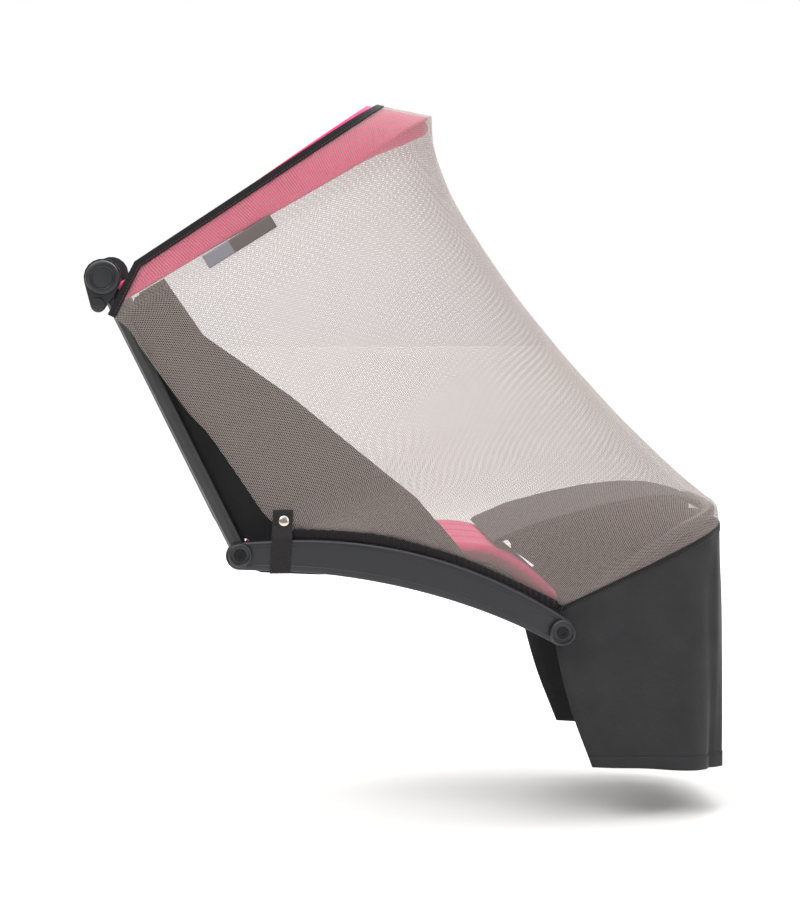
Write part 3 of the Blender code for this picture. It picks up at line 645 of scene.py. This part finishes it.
railPiece = {"inner": 0.1765, "outer": 0.1925, "endHalf": 0.0175, "swell": 0.0052, "corner": 0.0042,
             "front": (0.4025, -0.1042), "level": -0.004, "levelEnd": 0.045}


def railCentre(x):
    run, drop = railPiece["front"][0] - railPiece["levelEnd"], railPiece["level"] - railPiece["front"][1]
    radius = (run ** 2 + drop ** 2) / (2 * drop)
    if x <= railPiece["levelEnd"]:
        return railPiece["level"]
    return railPiece["level"] - radius + math.sqrt(radius ** 2 - (x - railPiece["levelEnd"]) ** 2)


def railHalf(x):
    return railPiece["endHalf"] + railPiece["swell"] * math.sin(math.pi * min(max(x / railPiece["front"][0], 0), 1))


def railFrame(x):
    slope = (railCentre(x + 0.001) - railCentre(x - 0.001)) / 0.002
    return Vector((x, 0.0, railCentre(x))), Vector((-slope, 0.0, 1.0)).normalized()


def railTop(x):
    centre, up = railFrame(x)
    return centre.z + railHalf(x) / up.z


def makeRail(name, side):
    # moulded arm: flat face, round shoulders, and a narrow raised lip along the top that catches the light
    length, end = railPiece["front"][0], railPiece["endHalf"]
    places = [-end * math.sin(math.pi / 2 * k / 10) for k in range(10, 0, -1)]
    places += [length * k / 60 for k in range(61)]
    places += [length + end * math.sin(math.pi / 2 * k / 10) for k in range(1, 11)]
    middle = (railPiece["inner"] + railPiece["outer"]) / 2
    halfWidth = (railPiece["outer"] - railPiece["inner"]) / 2
    rings = []
    for x in places:
        clamped = min(max(x, 0.0), length)
        centre, up = railFrame(clamped)
        beyond = x - clamped
        half = math.sqrt(max(end ** 2 - beyond ** 2, 0.0)) if beyond else railHalf(x)
        half = max(half, 0.0008)
        centre = centre + Vector((up.z, 0.0, -up.x)) * beyond
        corner = min(railPiece["corner"], half * 0.6)
        lip = smoothStep(0.0, 0.012, half)  # the lip and the face groove die out at the round ends
        outline = []
        for turn in range(7):  # outer top shoulder
            angle = math.pi / 2 * turn / 6
            outline.append((halfWidth - corner + corner * math.sin(angle),
                            half - corner + corner * math.cos(angle)))
        step = 0.0007 * lip
        outline += [(halfWidth, half * 0.62), (halfWidth - step, half * 0.58), (halfWidth - step, -half * 0.60),
                    (halfWidth, -half * 0.64)]
        for turn in range(7):
            angle = math.pi / 2 * turn / 6
            outline.append((halfWidth - corner + corner * math.cos(angle),
                            -half + corner - corner * math.sin(angle)))
        for turn in range(7):
            angle = math.pi / 2 * turn / 6
            outline.append((-halfWidth + corner - corner * math.sin(angle),
                            -half + corner - corner * math.cos(angle)))
        for turn in range(7):
            angle = math.pi / 2 * turn / 6
            outline.append((-halfWidth + corner - corner * math.cos(angle),
                            half - corner + corner * math.sin(angle)))
        rings.append([(centre.x + up.x * high, side * (middle + out), centre.z + up.z * high)
                      for out, high in outline])
    piece = loftPiece("railArm_" + name, rings, nylonBlack, sharp=30)
    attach(piece, "root")
    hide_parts("rail_" + name)


gatherPiece = {"wave": 0.0011, "length": 0.0075, "thick": 0.0011, "over": 0.0030}


def makeGather(name, side):
    # elastic gathered along the net's lower edge: a thin wavy strip that stands on the rail
    rows, places = [], [railStart + (seam - 0.25 - railStart) * k / 260 for k in range(261)]
    for k, place in enumerate(places):
        edgeX, edgeZ, _, _, edgeHalf, _, _ = netHoop(place)
        low = max(railTop(min(edgeX, 0.388)) + 0.0006, edgeZ - 0.010)
        ripple = math.sin(tau * edgeX / gatherPiece["length"] + 1.4 * noise.noise(Vector((edgeX * 40, side, 0))))
        high = edgeZ + gatherPiece["over"] + 0.0009 * noise.noise(Vector((edgeX * 160, side * 2.0, 5.0)))
        row = []
        for step in range(7):
            part = step / 6
            z = low + (high - low) * part
            out = edgeHalf + 0.0014 + gatherPiece["wave"] * ripple * (0.35 + 0.65 * part)
            row.append(Vector((edgeX, side * out, z)))
        rows.append(row)
    piece = clothPiece("gatheredElastic_" + name, rows, gatherPiece["thick"], elasticTape)
    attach(piece, "root")
    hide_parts("rail_binding_" + name)
    return piece


for name, side in sides:
    makeRail(name, side)
    makeGather(name, side)
print("rails and gathered elastic done")


# Pivot caps, their screws, and hinges: turned shapes

pivotPiece = {"rear": (0.0, -0.002, 0.0150), "front": (0.4025, -0.1042, 0.0165), "high": 0.008}
hingePiece = {"cap": (-0.166, 0.340, 0.0209), "knob": (-0.1715, 0.3065, 0.00855), "plateOut": 0.1743}


def hexRecess(name, place, side, out, material, across=0.0040, deep=0.0018):
    # a socket-head screw: round head with a six-sided hole
    profile = [(0.0072, out), (0.0072, out + 0.0016), (0.0066, out + 0.0022), (0.0048, out + 0.0022)]
    count = 48
    rings = []
    for radius, level in profile:
        rings.append([(place[0] + math.cos(tau * k / count) * radius, side * level,
                       place[1] + math.sin(tau * k / count) * radius) for k in range(count)])
    for level in (out + 0.0022, out + 0.0022 - deep):
        ring = []
        for k in range(count):
            angle = tau * k / count
            wedge = (angle % (math.pi / 3)) - math.pi / 6
            radius = across / 2 * 1.6 / math.cos(wedge)
            ring.append((place[0] + math.cos(angle) * radius, side * level, place[1] + math.sin(angle) * radius))
        rings.append(ring)
    piece = loftPiece(name, rings, material, sharp=30)
    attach(piece, "root")
    return piece


def makePivots():
    face = railPiece["outer"] + 0.0003
    for label in ("rear", "front"):
        x, z, radius = pivotPiece[label]
        top = face + pivotPiece["high"]
        profile = [(0.0, face), (radius * 0.9, face), (radius, face + 0.0006), (radius, top - 0.0030),
                   (radius * 0.97, top - 0.0012), (radius * 0.90, top - 0.0002), (radius * 0.84, top),
                   (radius * 0.78, top - 0.0004), (radius * 0.74, top - 0.0024), (radius * 0.60, top - 0.0030),
                   (radius * 0.52, top - 0.0030), (0.0, top - 0.0030)]
        for name, side in sides:
            piece = turnedPiece("pivotCap_" + label + "_" + name, profile, (x, z), side, nylonBlack)
            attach(piece, "root")
            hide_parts("pivot_" + label + "_" + name)
            hexRecess("pivotScrew_" + label + "_" + name, (x, z), side, top - 0.0028, screwSteel)


def makeHinges():
    base = hingePiece["plateOut"] + 0.0003
    for name, side in sides:
        x, z, radius = hingePiece["cap"]
        top = base + 0.008
        profile = [(0.0, base), (radius * 0.96, base), (radius, base + 0.0010), (radius, top - 0.0030),
                   (radius * 0.96, top - 0.0008), (radius * 0.88, top), (radius * 0.74, top),
                   (radius * 0.70, top - 0.0010), (radius * 0.62, top - 0.0014), (radius * 0.58, top - 0.0006),
                   (radius * 0.30, top - 0.0002), (0.0, top)]
        piece = turnedPiece("hingeCap_" + name, profile, (x, z), side, nylonBlack)
        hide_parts("hinge_cap_" + name)
        x, z, radius = hingePiece["knob"]
        top = base + 0.004
        profile = [(0.0, base), (radius, base), (radius, top - 0.0014), (radius * 0.92, top - 0.0005),
                   (radius * 0.70, top - 0.0001), (0.0, top)]
        knob = turnedPiece("hingeKnob_" + name, profile, (x, z), side, nylonBlack, around=36)
        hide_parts("hinge_knob_" + name)
        for made in (piece, knob):
            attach(made, "root")


makePivots()
makeHinges()
print("pivots and hinges done")


# Straps and press studs

strapPiece = {"wide": 0.025, "thick": 0.0016, "cloth": 0.0012, "gap": 0.0003}
studPiece = {"place": (0.0547, 0.0386), "radius": 0.0065, "cap": 0.0024, "socket": 0.0015}


def strapMiddle(z):
    return 0.0508 + 0.06 * z


def makeStrap(name, side):
    gap, thick = strapPiece["gap"], strapPiece["thick"]
    layer = strapPiece["cloth"] / 2 + 3 * gap + thick / 2
    railIn, railOut = railPiece["inner"] - 2 * gap - thick / 2, railPiece["outer"] + 2 * gap + thick / 2
    bottom = railCentre(0.05) - railHalf(0.066) - 2 * gap - thick / 2
    turn = 0.003
    path = [("net", -layer, z) for z in (0.052, 0.045, 0.038, 0.031, 0.0235)]
    path += [("rail", railIn, 0.0155), ("rail", railIn, bottom + turn),
             ("rail", railIn + turn * 0.3, bottom + turn * 0.3),
             ("rail", railIn + turn, bottom), ("rail", railOut - turn, bottom),
             ("rail", railOut - turn * 0.3, bottom + turn * 0.3), ("rail", railOut, bottom + turn),
             ("rail", railOut, 0.0180)]
    path += [("net", layer, z) for z in (0.0330, 0.038, 0.045, 0.052)]
    columns = 9
    lines = []
    for c in range(columns):
        across = strapPiece["wide"] * (c / (columns - 1) - 0.5)
        line = []
        for kind, y, z in path:
            x = strapMiddle(z) + across
            line.append(Vector((x, side * (y + (sideWall(x, z) if kind == "net" else 0.0)), z)))
        lines.append(resample(line, 64))
    rows = [[lines[c][k] for c in range(columns)] for k in range(64)]
    piece = clothPiece("strapWebbing_" + name, rows, thick, webbingCloth)
    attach(piece, "root")
    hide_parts("strap_" + name)
    wall = sideWall(*studPiece["place"])
    x, z = studPiece["place"]
    radius = studPiece["radius"]
    lean = -(sideWall(x, z + radius) - sideWall(x, z - radius)) / (2 * radius)
    face, inside = wall + layer + thick / 2 + 2 * gap, wall - layer - thick / 2 - 2 * gap
    high = studPiece["cap"]
    dome = [(0.0, face), (radius * 0.98, face), (radius, face + high * 0.15), (radius * 0.99, face + high * 0.35)]
    dome += [(radius * math.cos(math.pi / 2 * k / 8), face + high * (0.35 + 0.65 * math.sin(math.pi / 2 * k / 8)))
             for k in range(1, 8)] + [(0.0, face + high)]
    cap = turnedPiece("studCap_" + name, dome, (x, z), side, nickel, lean)
    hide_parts("snap_cap_" + name)
    deep = studPiece["socket"]
    ring = [(0.0, inside), (radius * 0.85, inside), (radius * 0.85, inside - deep * 0.6),
            (radius * 0.78, inside - deep), (radius * 0.5, inside - deep), (radius * 0.44, inside - deep * 0.5),
            (radius * 0.30, inside - deep * 0.4), (0.0, inside - deep * 0.4)]
    socket = turnedPiece("studSocket_" + name, ring, (x, z), side, nickel, lean)
    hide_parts("snap_socket_" + name)
    for made in (cap, socket):
        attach(made, "root")


for name, side in sides:
    makeStrap(name, side)
print("straps and studs done")


# Label, bare

labelPiece = {"length": 0.098, "high": 0.0175, "thick": 0.0008, "corner": (-0.035, 0.3505),
              "along": (0.085, 0.0525)}


def makeLabel():
    low = Vector((labelPiece["corner"][0], 0.0, labelPiece["corner"][1]))
    along = Vector((labelPiece["along"][0], 0.0, labelPiece["along"][1])).normalized()
    up = Vector((-along.z, 0.0, along.x))
    rows = []
    for i in range(7):
        row = []
        for j in range(25):
            point = low + along * labelPiece["length"] * j / 24 + up * labelPiece["high"] * (1 - i / 6)
            lift = 0.0017 + 0.0003 * math.sin(j * 0.9)
            row.append(Vector((point.x, -sideWall(point.x, point.z) - lift, point.z)))
        rows.append(row)
    piece = clothPiece("labelWoven", rows, labelPiece["thick"], makeLabelMaterial(labelPiece["length"]))
    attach(piece, "root")
    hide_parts("label")
    return piece


label = makeLabel()
print("label done")


# Hood's front rim

rimPiece = {"thick": 0.003, "ease": 0.002, "cloth": 0.0012, "back": -0.35, "front": 0.94, "sideFront": 1.24,
            "roll": 0.0115}


def makeHoodRim():
    inset = rimPiece["cloth"] / 2 + rimPiece["ease"] + rimPiece["thick"] / 2
    half, rows, norms = 46, [], []
    for i in range(15):
        share = i / 14
        row, ns = [], []
        cache = {}
        for j in range(2 * half + 1):
            inward = 1 - abs(j - half) / half
            deeper = min(max((0.55 - inward) / 0.2, 0), 1)  # the band is deeper at the sides
            edge = rimPiece["front"] + (rimPiece["sideFront"] - rimPiece["front"]) * deeper
            place = round(rimPiece["back"] + (edge - rimPiece["back"]) * share, 5)
            if place not in cache:
                cache[place] = netStations(place)
            point, normal, _ = cache[place][j]
            row.append(point - normal * inset)
            ns.append(normal)
        rows.append(row)
        norms.append(ns)
    piece = clothPiece("hoodRimCloth", rows, rimPiece["thick"] * 0.8, pinkCloth)
    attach(piece, "root")
    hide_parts("hood_rim")
    stitches = stitchLine("hoodRimStitches", [p + n * rimPiece["thick"] * 0.4 for p, n in zip(rows[9], norms[9])],
                          norms[9], pinkThread, stitch=0.0032)
    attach(stitches, "root")


def makeHoodRoll():
    inset = rimPiece["cloth"] / 2 + rimPiece["ease"] + rimPiece["thick"] + 0.0009 + rimPiece["roll"]
    path = [point - normal * inset for point, normal, _ in netStations(0.80)]
    tube = Vector((-0.166, 0.0, 0.340)).normalized()
    for end, inner in ((0, 1), (-1, -2)):
        run = (path[end] - path[inner]).normalized()
        across = Vector((tube.z, 0.0, -tube.x))
        reach = (path[end].dot(across) - 0.0105 - 0.0012) / -run.dot(across)
        path[end] = path[end] + run * reach
    path = resample(path, 170)
    radii = [rimPiece["roll"] * (0.955 + 0.035 * noise.noise(Vector((p.x * 28, p.y * 28, p.z * 28)))) for p in path]
    piece = tubePiece("hoodRollPadded", path, radii, pinkCloth, around=28)
    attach(piece, "root")
    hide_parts("hood_roll")


makeHoodRim()
makeHoodRoll()
print("hood rim done")


# Seat: pad, panel, backrest, wings, calf rest

seatPiece = {"padLine": ((0.014, 0.004), (0.110, 0.005), (0.210, 0.005), (0.290, 0.004), (0.318, 0.001),
                         (0.345, -0.010), (0.372, -0.030), (0.395, -0.051), (0.411, -0.067)),
             "padHalf": 0.138, "padThick": 0.024, "panelHalf": 0.145, "panelThick": 0.008, "lip": 0.017,
             "backLine": ((-0.0046, 0.0094), (-0.070, 0.150), (-0.136, 0.285)), "backHalf": 0.145, "backThick": 0.010,
             "wingY": 0.1455, "wingThick": 0.003}
# x, half width, top, bottom
skirtRows = ((0.345, 0.1320, 0.0069, -0.0060), (0.373, 0.1320, 0.0188, -0.0255),
             (0.395, 0.1305, 0.0247, -0.0460), (0.413, 0.1290, 0.0293, -0.0640),
             (0.417, 0.1290, 0.0303, -0.0800), (0.450, 0.1240, 0.0384, -0.0665),
             (0.480, 0.1180, 0.0449, -0.0535), (0.525, 0.1030, 0.0509, -0.0340),
             (0.560, 0.0900, 0.0509, -0.0185), (0.584, 0.0800, 0.0457, -0.0080))
# x, height, half width
calfRows = ((0.322, 0.0044, 0.136), (0.373, 0.0260, 0.136), (0.430, 0.0410, 0.132), (0.480, 0.0515, 0.122),
            (0.525, 0.0575, 0.107), (0.560, 0.0575, 0.094), (0.584, 0.0525, 0.084), (0.6035, 0.0461, 0.078))
wingOutline = ((-0.1276, 0.3145), (-0.094, 0.334), (-0.0855, 0.3205), (-0.041, 0.256), (0.077, 0.173),
               (0.202, 0.070), (0.250, 0.0315), (0.274, 0.003), (0.289, -0.017), (0.240, -0.032),
               (0.100, -0.034), (0.022, -0.030), (0.0145, -0.012), (0.0145, 0.012), (-0.012, 0.014),
               (-0.030, 0.035), (-0.140, 0.262))


def sideLine(points, count, smooth=3):
    # an even line through side-view points, its bends eased
    line = resample([Vector((p[0], 0.0, p[1])) for p in points], count)
    for _ in range(smooth):
        line = [line[0]] + [(a + b * 2 + c) / 4 for a, b, c in zip(line, line[1:], line[2:])] + [line[-1]]
    return line


def cushion(name, line, half, thick, material, crown, channels, edge=0.010, columns=49):
    # a padded band that hangs under a side-view line: round edges, a soft crown and sewn channels along it.
    # The line is its highest surface, and thick is its full depth.
    count = len(line)
    runs = [0.0]
    for one, two in zip(line, line[1:]):
        runs.append(runs[-1] + (two - one).length)
    rings = []
    for i in range(count):
        before, after = line[max(i - 1, 0)], line[min(i + 1, count - 1)]
        run = (after - before).normalized()
        down = Vector((run.z, 0.0, -run.x))
        endRoom = min(runs[i], runs[-1] - runs[i])
        endRound = math.sqrt(max(1 - (1 - min(endRoom / edge, 1.0)) ** 2, 0.0))
        top, bottom = [], []
        for c in range(columns):
            y = -half + 2 * half * c / (columns - 1)
            room = half - abs(y)
            sideRound = math.sqrt(max(1 - (1 - min(room / edge, 1.0)) ** 2, 0.0))
            full = min(endRound, sideRound)
            puff = crown * (math.cos(math.pi / 2 * y / half) ** 0.6 if room > 0 else 0.0) - crown
            dip = sum(0.0035 * math.exp(-((y - place) / 0.0035) ** 2) for place in channels)
            depth = thick / 2
            top.append(line[i] + down * (depth - depth * full - (puff - dip) * full) + Vector((0, y, 0)))
            bottom.append(line[i] + down * (depth + depth * full) + Vector((0, y, 0)))
        rings.append(top + bottom[::-1])
    return loftPiece(name, rings, material, sharp=180)


def makeSeatPad():
    line = sideLine(seatPiece["padLine"], 90)
    piece = cushion("seatPadCushion", line, seatPiece["padHalf"], seatPiece["padThick"], pinkCloth, 0.002,
                    (-0.070, 0.0, 0.070))
    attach(piece, "root")
    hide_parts("seat_pad")


def lowered(points, drop):
    line = [Vector((p[0], 0.0, p[1])) for p in points]
    made = []
    for k, point in enumerate(line):
        run = (line[min(k + 1, len(line) - 1)] - line[max(k - 1, 0)]).normalized()
        made.append((point.x + run.z * drop, point.z - run.x * drop))
    return made


def makeSeatPanel():
    under = lowered(seatPiece["padLine"], seatPiece["padThick"] + 0.0003)
    last, before = Vector(under[-1]), Vector(under[-2])
    end = last + (last - before).normalized() * seatPiece["lip"]
    under.append((end.x, end.y))
    piece = cushion("seatPanelSling", sideLine(under, 80), seatPiece["panelHalf"], seatPiece["panelThick"], seatCloth,
                    0.0005, (-0.135, 0.135), edge=0.004)
    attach(piece, "root")
    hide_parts("seat_panel")


def makeBackrest():
    piece = cushion("backrestCushion", sideLine(seatPiece["backLine"], 70), seatPiece["backHalf"],
                    seatPiece["backThick"], seatCloth, 0.002, (-0.095, -0.032, 0.032, 0.095), edge=0.005)
    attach(piece, "root")
    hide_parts("backrest")


def makeCalfRest():
    line = [Vector((x, 0.0, z)) for x, z, _ in calfRows]
    even = resample(line, 60)
    for _ in range(2):
        even = [even[0]] + [(a + b * 2 + c) / 4 for a, b, c in zip(even, even[1:], even[2:])] + [even[-1]]
    rings = []
    columns, thick, edge = 41, 0.006, 0.003
    for i, point in enumerate(even):
        run = (even[min(i + 1, 59)] - even[max(i - 1, 0)]).normalized()
        down = Vector((run.z, 0.0, -run.x))
        k = 0
        while k < len(calfRows) - 2 and calfRows[k + 1][0] < point.x:
            k += 1
        part = (point.x - calfRows[k][0]) / (calfRows[k + 1][0] - calfRows[k][0])
        half = calfRows[k][2] + (calfRows[k + 1][2] - calfRows[k][2]) * part
        endRoom = min(i, 59 - i) * 0.005
        endRound = math.sqrt(max(1 - (1 - min(endRoom / edge, 1.0)) ** 2, 0.0))
        top, bottom = [], []
        for c in range(columns):
            y = -half + 2 * half * c / (columns - 1)
            room = half - abs(y)
            full = min(endRound, math.sqrt(max(1 - (1 - min(room / edge, 1.0)) ** 2, 0.0)))
            dip = 0.0012 * math.exp(-((room - 0.010) / 0.0018) ** 2)
            top.append(point + down * (thick / 2 * (1 - full) + dip * full) + Vector((0, y, 0)))
            bottom.append(point + down * (thick / 2 * (1 + full)) + Vector((0, y, 0)))
        rings.append(top + bottom[::-1])
    piece = loftPiece("calfRestCloth", rings, seatCloth, sharp=180)
    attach(piece, "root")
    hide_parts("calf_rest")


def makeSkirt(name, side):
    # cloth side of the calf rest, hanging from its edge, with a little slack towards the bottom
    rows = []
    columns = 60
    for step in range(13):
        share, row = step / 12, []
        for c in range(columns + 1):
            x = skirtRows[0][0] + (skirtRows[-1][0] - skirtRows[0][0]) * c / columns
            k = 0
            while k < len(skirtRows) - 2 and skirtRows[k + 1][0] < x:
                k += 1
            part = (x - skirtRows[k][0]) / (skirtRows[k + 1][0] - skirtRows[k][0])
            half, top, low = (a + (b - a) * part for a, b in zip(skirtRows[k][1:], skirtRows[k + 1][1:]))
            slack = 0.0016 * share * math.sin(tau * x / 0.062 + side)
            row.append(Vector((x, side * (half + slack), top + (low - top) * share)))
        rows.append(row)
    piece = clothPiece("calfSkirt_" + name, rows, 0.0010, seatCloth)
    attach(piece, "root")
    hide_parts("calf_skirt_" + name)


def makeWing(name, side):
    # stiff cloth side wing: two layers with a stiffener, its edge bound
    outline = resample([Vector((x, 0.0, z)) for x, z in wingOutline + wingOutline[:1]], 161)[:-1]
    middle = sum(outline, Vector()) / len(outline)
    y0, y1 = seatPiece["wingY"], seatPiece["wingY"] + seatPiece["wingThick"]
    rings = []
    for inward, share in ((0.0, 0.35), (0.0007, 0.02), (0.0045, 0.0), (0.0052, 0.22), (0.0072, 0.22)):
        ring = []
        for k, point in enumerate(outline):
            run = (outline[(k + 1) % 160] - outline[k - 1]).normalized()
            normal = Vector((run.z, 0.0, -run.x))
            if normal.dot(middle - point) < 0:
                normal = -normal
            at = point + normal * inward
            ring.append((at.x, side * (y1 - (y1 - y0) * share), at.z))
        rings.append(ring)
    back = []
    for inward, share in ((0.0072, 0.78), (0.0052, 0.78), (0.0045, 1.0), (0.0007, 0.98), (0.0, 0.65)):
        ring = []
        for k, point in enumerate(outline):
            run = (outline[(k + 1) % 160] - outline[k - 1]).normalized()
            normal = Vector((run.z, 0.0, -run.x))
            if normal.dot(middle - point) < 0:
                normal = -normal
            at = point + normal * inward
            ring.append((at.x, side * (y1 - (y1 - y0) * share), at.z))
        back.append(ring)
    piece = loftPiece("sideWing_" + name, back + rings, seatCloth, sharp=40)
    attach(piece, "root")
    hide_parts("wing_" + name)


makeSeatPad()
makeSeatPanel()
makeBackrest()
makeCalfRest()
for name, side in sides:
    makeSkirt(name, side)
    makeWing(name, side)
print("seat done")


# What stays as the frame has it gets its finish

for name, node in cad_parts.items():
    if name.startswith(("side_tube", "cross_bar", "foot_bar")):
        node.data.materials.clear()
        node.data.materials.append(steelPaint)
    elif name.startswith(("spacer", "hinge_plate")):
        node.data.materials.clear()
        node.data.materials.append(nylonBlack)
print("frame nodes finished")


# Camera, light and floor

studio = {"floorHeight": -0.36, "lens": 97.56, "eye": (-0.0586, -3.190, 0.3845),
          "look": (0.0851, 0.9927, -0.0854)}


def makeStudio():
    scene = bpy.context.scene
    scene.view_settings.view_transform = "Standard"
    camera = bpy.data.objects.new("camera", bpy.data.cameras.new("camera"))
    scene.collection.objects.link(camera)
    camera.data.lens, camera.data.sensor_width = studio["lens"], 36.0
    camera.location = studio["eye"]
    camera.rotation_euler = Vector(studio["look"]).to_track_quat("-Z", "Y").to_euler()
    scene.camera = camera
    world = bpy.data.worlds.new("studio")
    world.use_nodes = True
    scene.world = world
    tree = world.node_tree
    sky = tree.nodes["Background"]
    way = tree.nodes.new("ShaderNodeTexCoord")
    parts = tree.nodes.new("ShaderNodeSeparateXYZ")
    tree.links.new(way.outputs["Generated"], parts.inputs[0])
    shades = []
    for axis, low, high in (("Y", 0.22, 0.55), ("Z", 0.0, 0.40)):  # dark behind the photographer, pale above
        ramp = tree.nodes.new("ShaderNodeMapRange")
        ramp.inputs["From Min"].default_value = -1.0 if axis == "Y" else 0.0
        ramp.inputs["To Min"].default_value, ramp.inputs["To Max"].default_value = low, high
        tree.links.new(parts.outputs[axis], ramp.inputs["Value"])
        shades.append(ramp)
    total = tree.nodes.new("ShaderNodeMath")
    tree.links.new(shades[0].outputs[0], total.inputs[0])
    tree.links.new(shades[1].outputs[0], total.inputs[1])
    tree.links.new(total.outputs[0], sky.inputs["Strength"])
    sky.inputs["Color"].default_value = (1, 1, 1, 1)
    white = tree.nodes.new("ShaderNodeBackground")
    white.inputs["Color"].default_value = (1, 1, 1, 1)
    path = tree.nodes.new("ShaderNodeLightPath")
    mix = tree.nodes.new("ShaderNodeMixShader")
    tree.links.new(path.outputs["Is Camera Ray"], mix.inputs[0])
    tree.links.new(sky.outputs[0], mix.inputs[1])
    tree.links.new(white.outputs[0], mix.inputs[2])
    tree.links.new(mix.outputs[0], tree.nodes["World Output"].inputs["Surface"])
    for name, place, size, power in (("key", (-1.3, -2.2, 2.4), 1.6, 60), ("fill", (1.9, -2.0, 1.2), 1.6, 14),
                                     ("top", (0.3, 0.2, 2.6), 1.8, 24), ("back", (0.5, 2.6, 1.6), 1.8, 30)):
        lamp = bpy.data.lights.new(name, "AREA")
        lamp.shape, lamp.size, lamp.energy = "SQUARE", size, power
        holder = bpy.data.objects.new(name, lamp)
        holder.location = place
        holder.rotation_euler = (Vector((0.2, 0.0, 0.15)) - Vector(place)).to_track_quat("-Z", "Y").to_euler()
        scene.collection.objects.link(holder)
    overhead = bpy.data.lights.new("overhead", "SUN")  # one wide even light, so the floor stays pale to its edge
    overhead.energy, overhead.angle = 1.7, math.radians(100)
    holder = bpy.data.objects.new("overhead", overhead)
    scene.collection.objects.link(holder)
    floorPaint, shader = newMaterial("painted studio floor, matt", "#F4F3F1", Roughness=0.9)
    place = addNode(floorPaint, "TexCoord")
    rollerMarks = addNode(floorPaint, "TexNoise", {"Vector": place.outputs["Object"], "Scale": 1 / 0.01,
                                                   "Detail": 3.0})
    lift = addNode(floorPaint, "Bump", {"Height": rollerMarks.outputs[0], "Distance": 0.0001,
                                        "Strength": 0.2})
    joinSockets(floorPaint, lift.outputs[0], shader.inputs["Normal"])
    size, z = 14.0, studio["floorHeight"]
    floor = meshPiece("floor", [(-size, -size, z), (size, -size, z), (size, size, z), (-size, size, z)],
                      [(0, 1, 2, 3)], floorPaint)


makeStudio()
print("studio done")
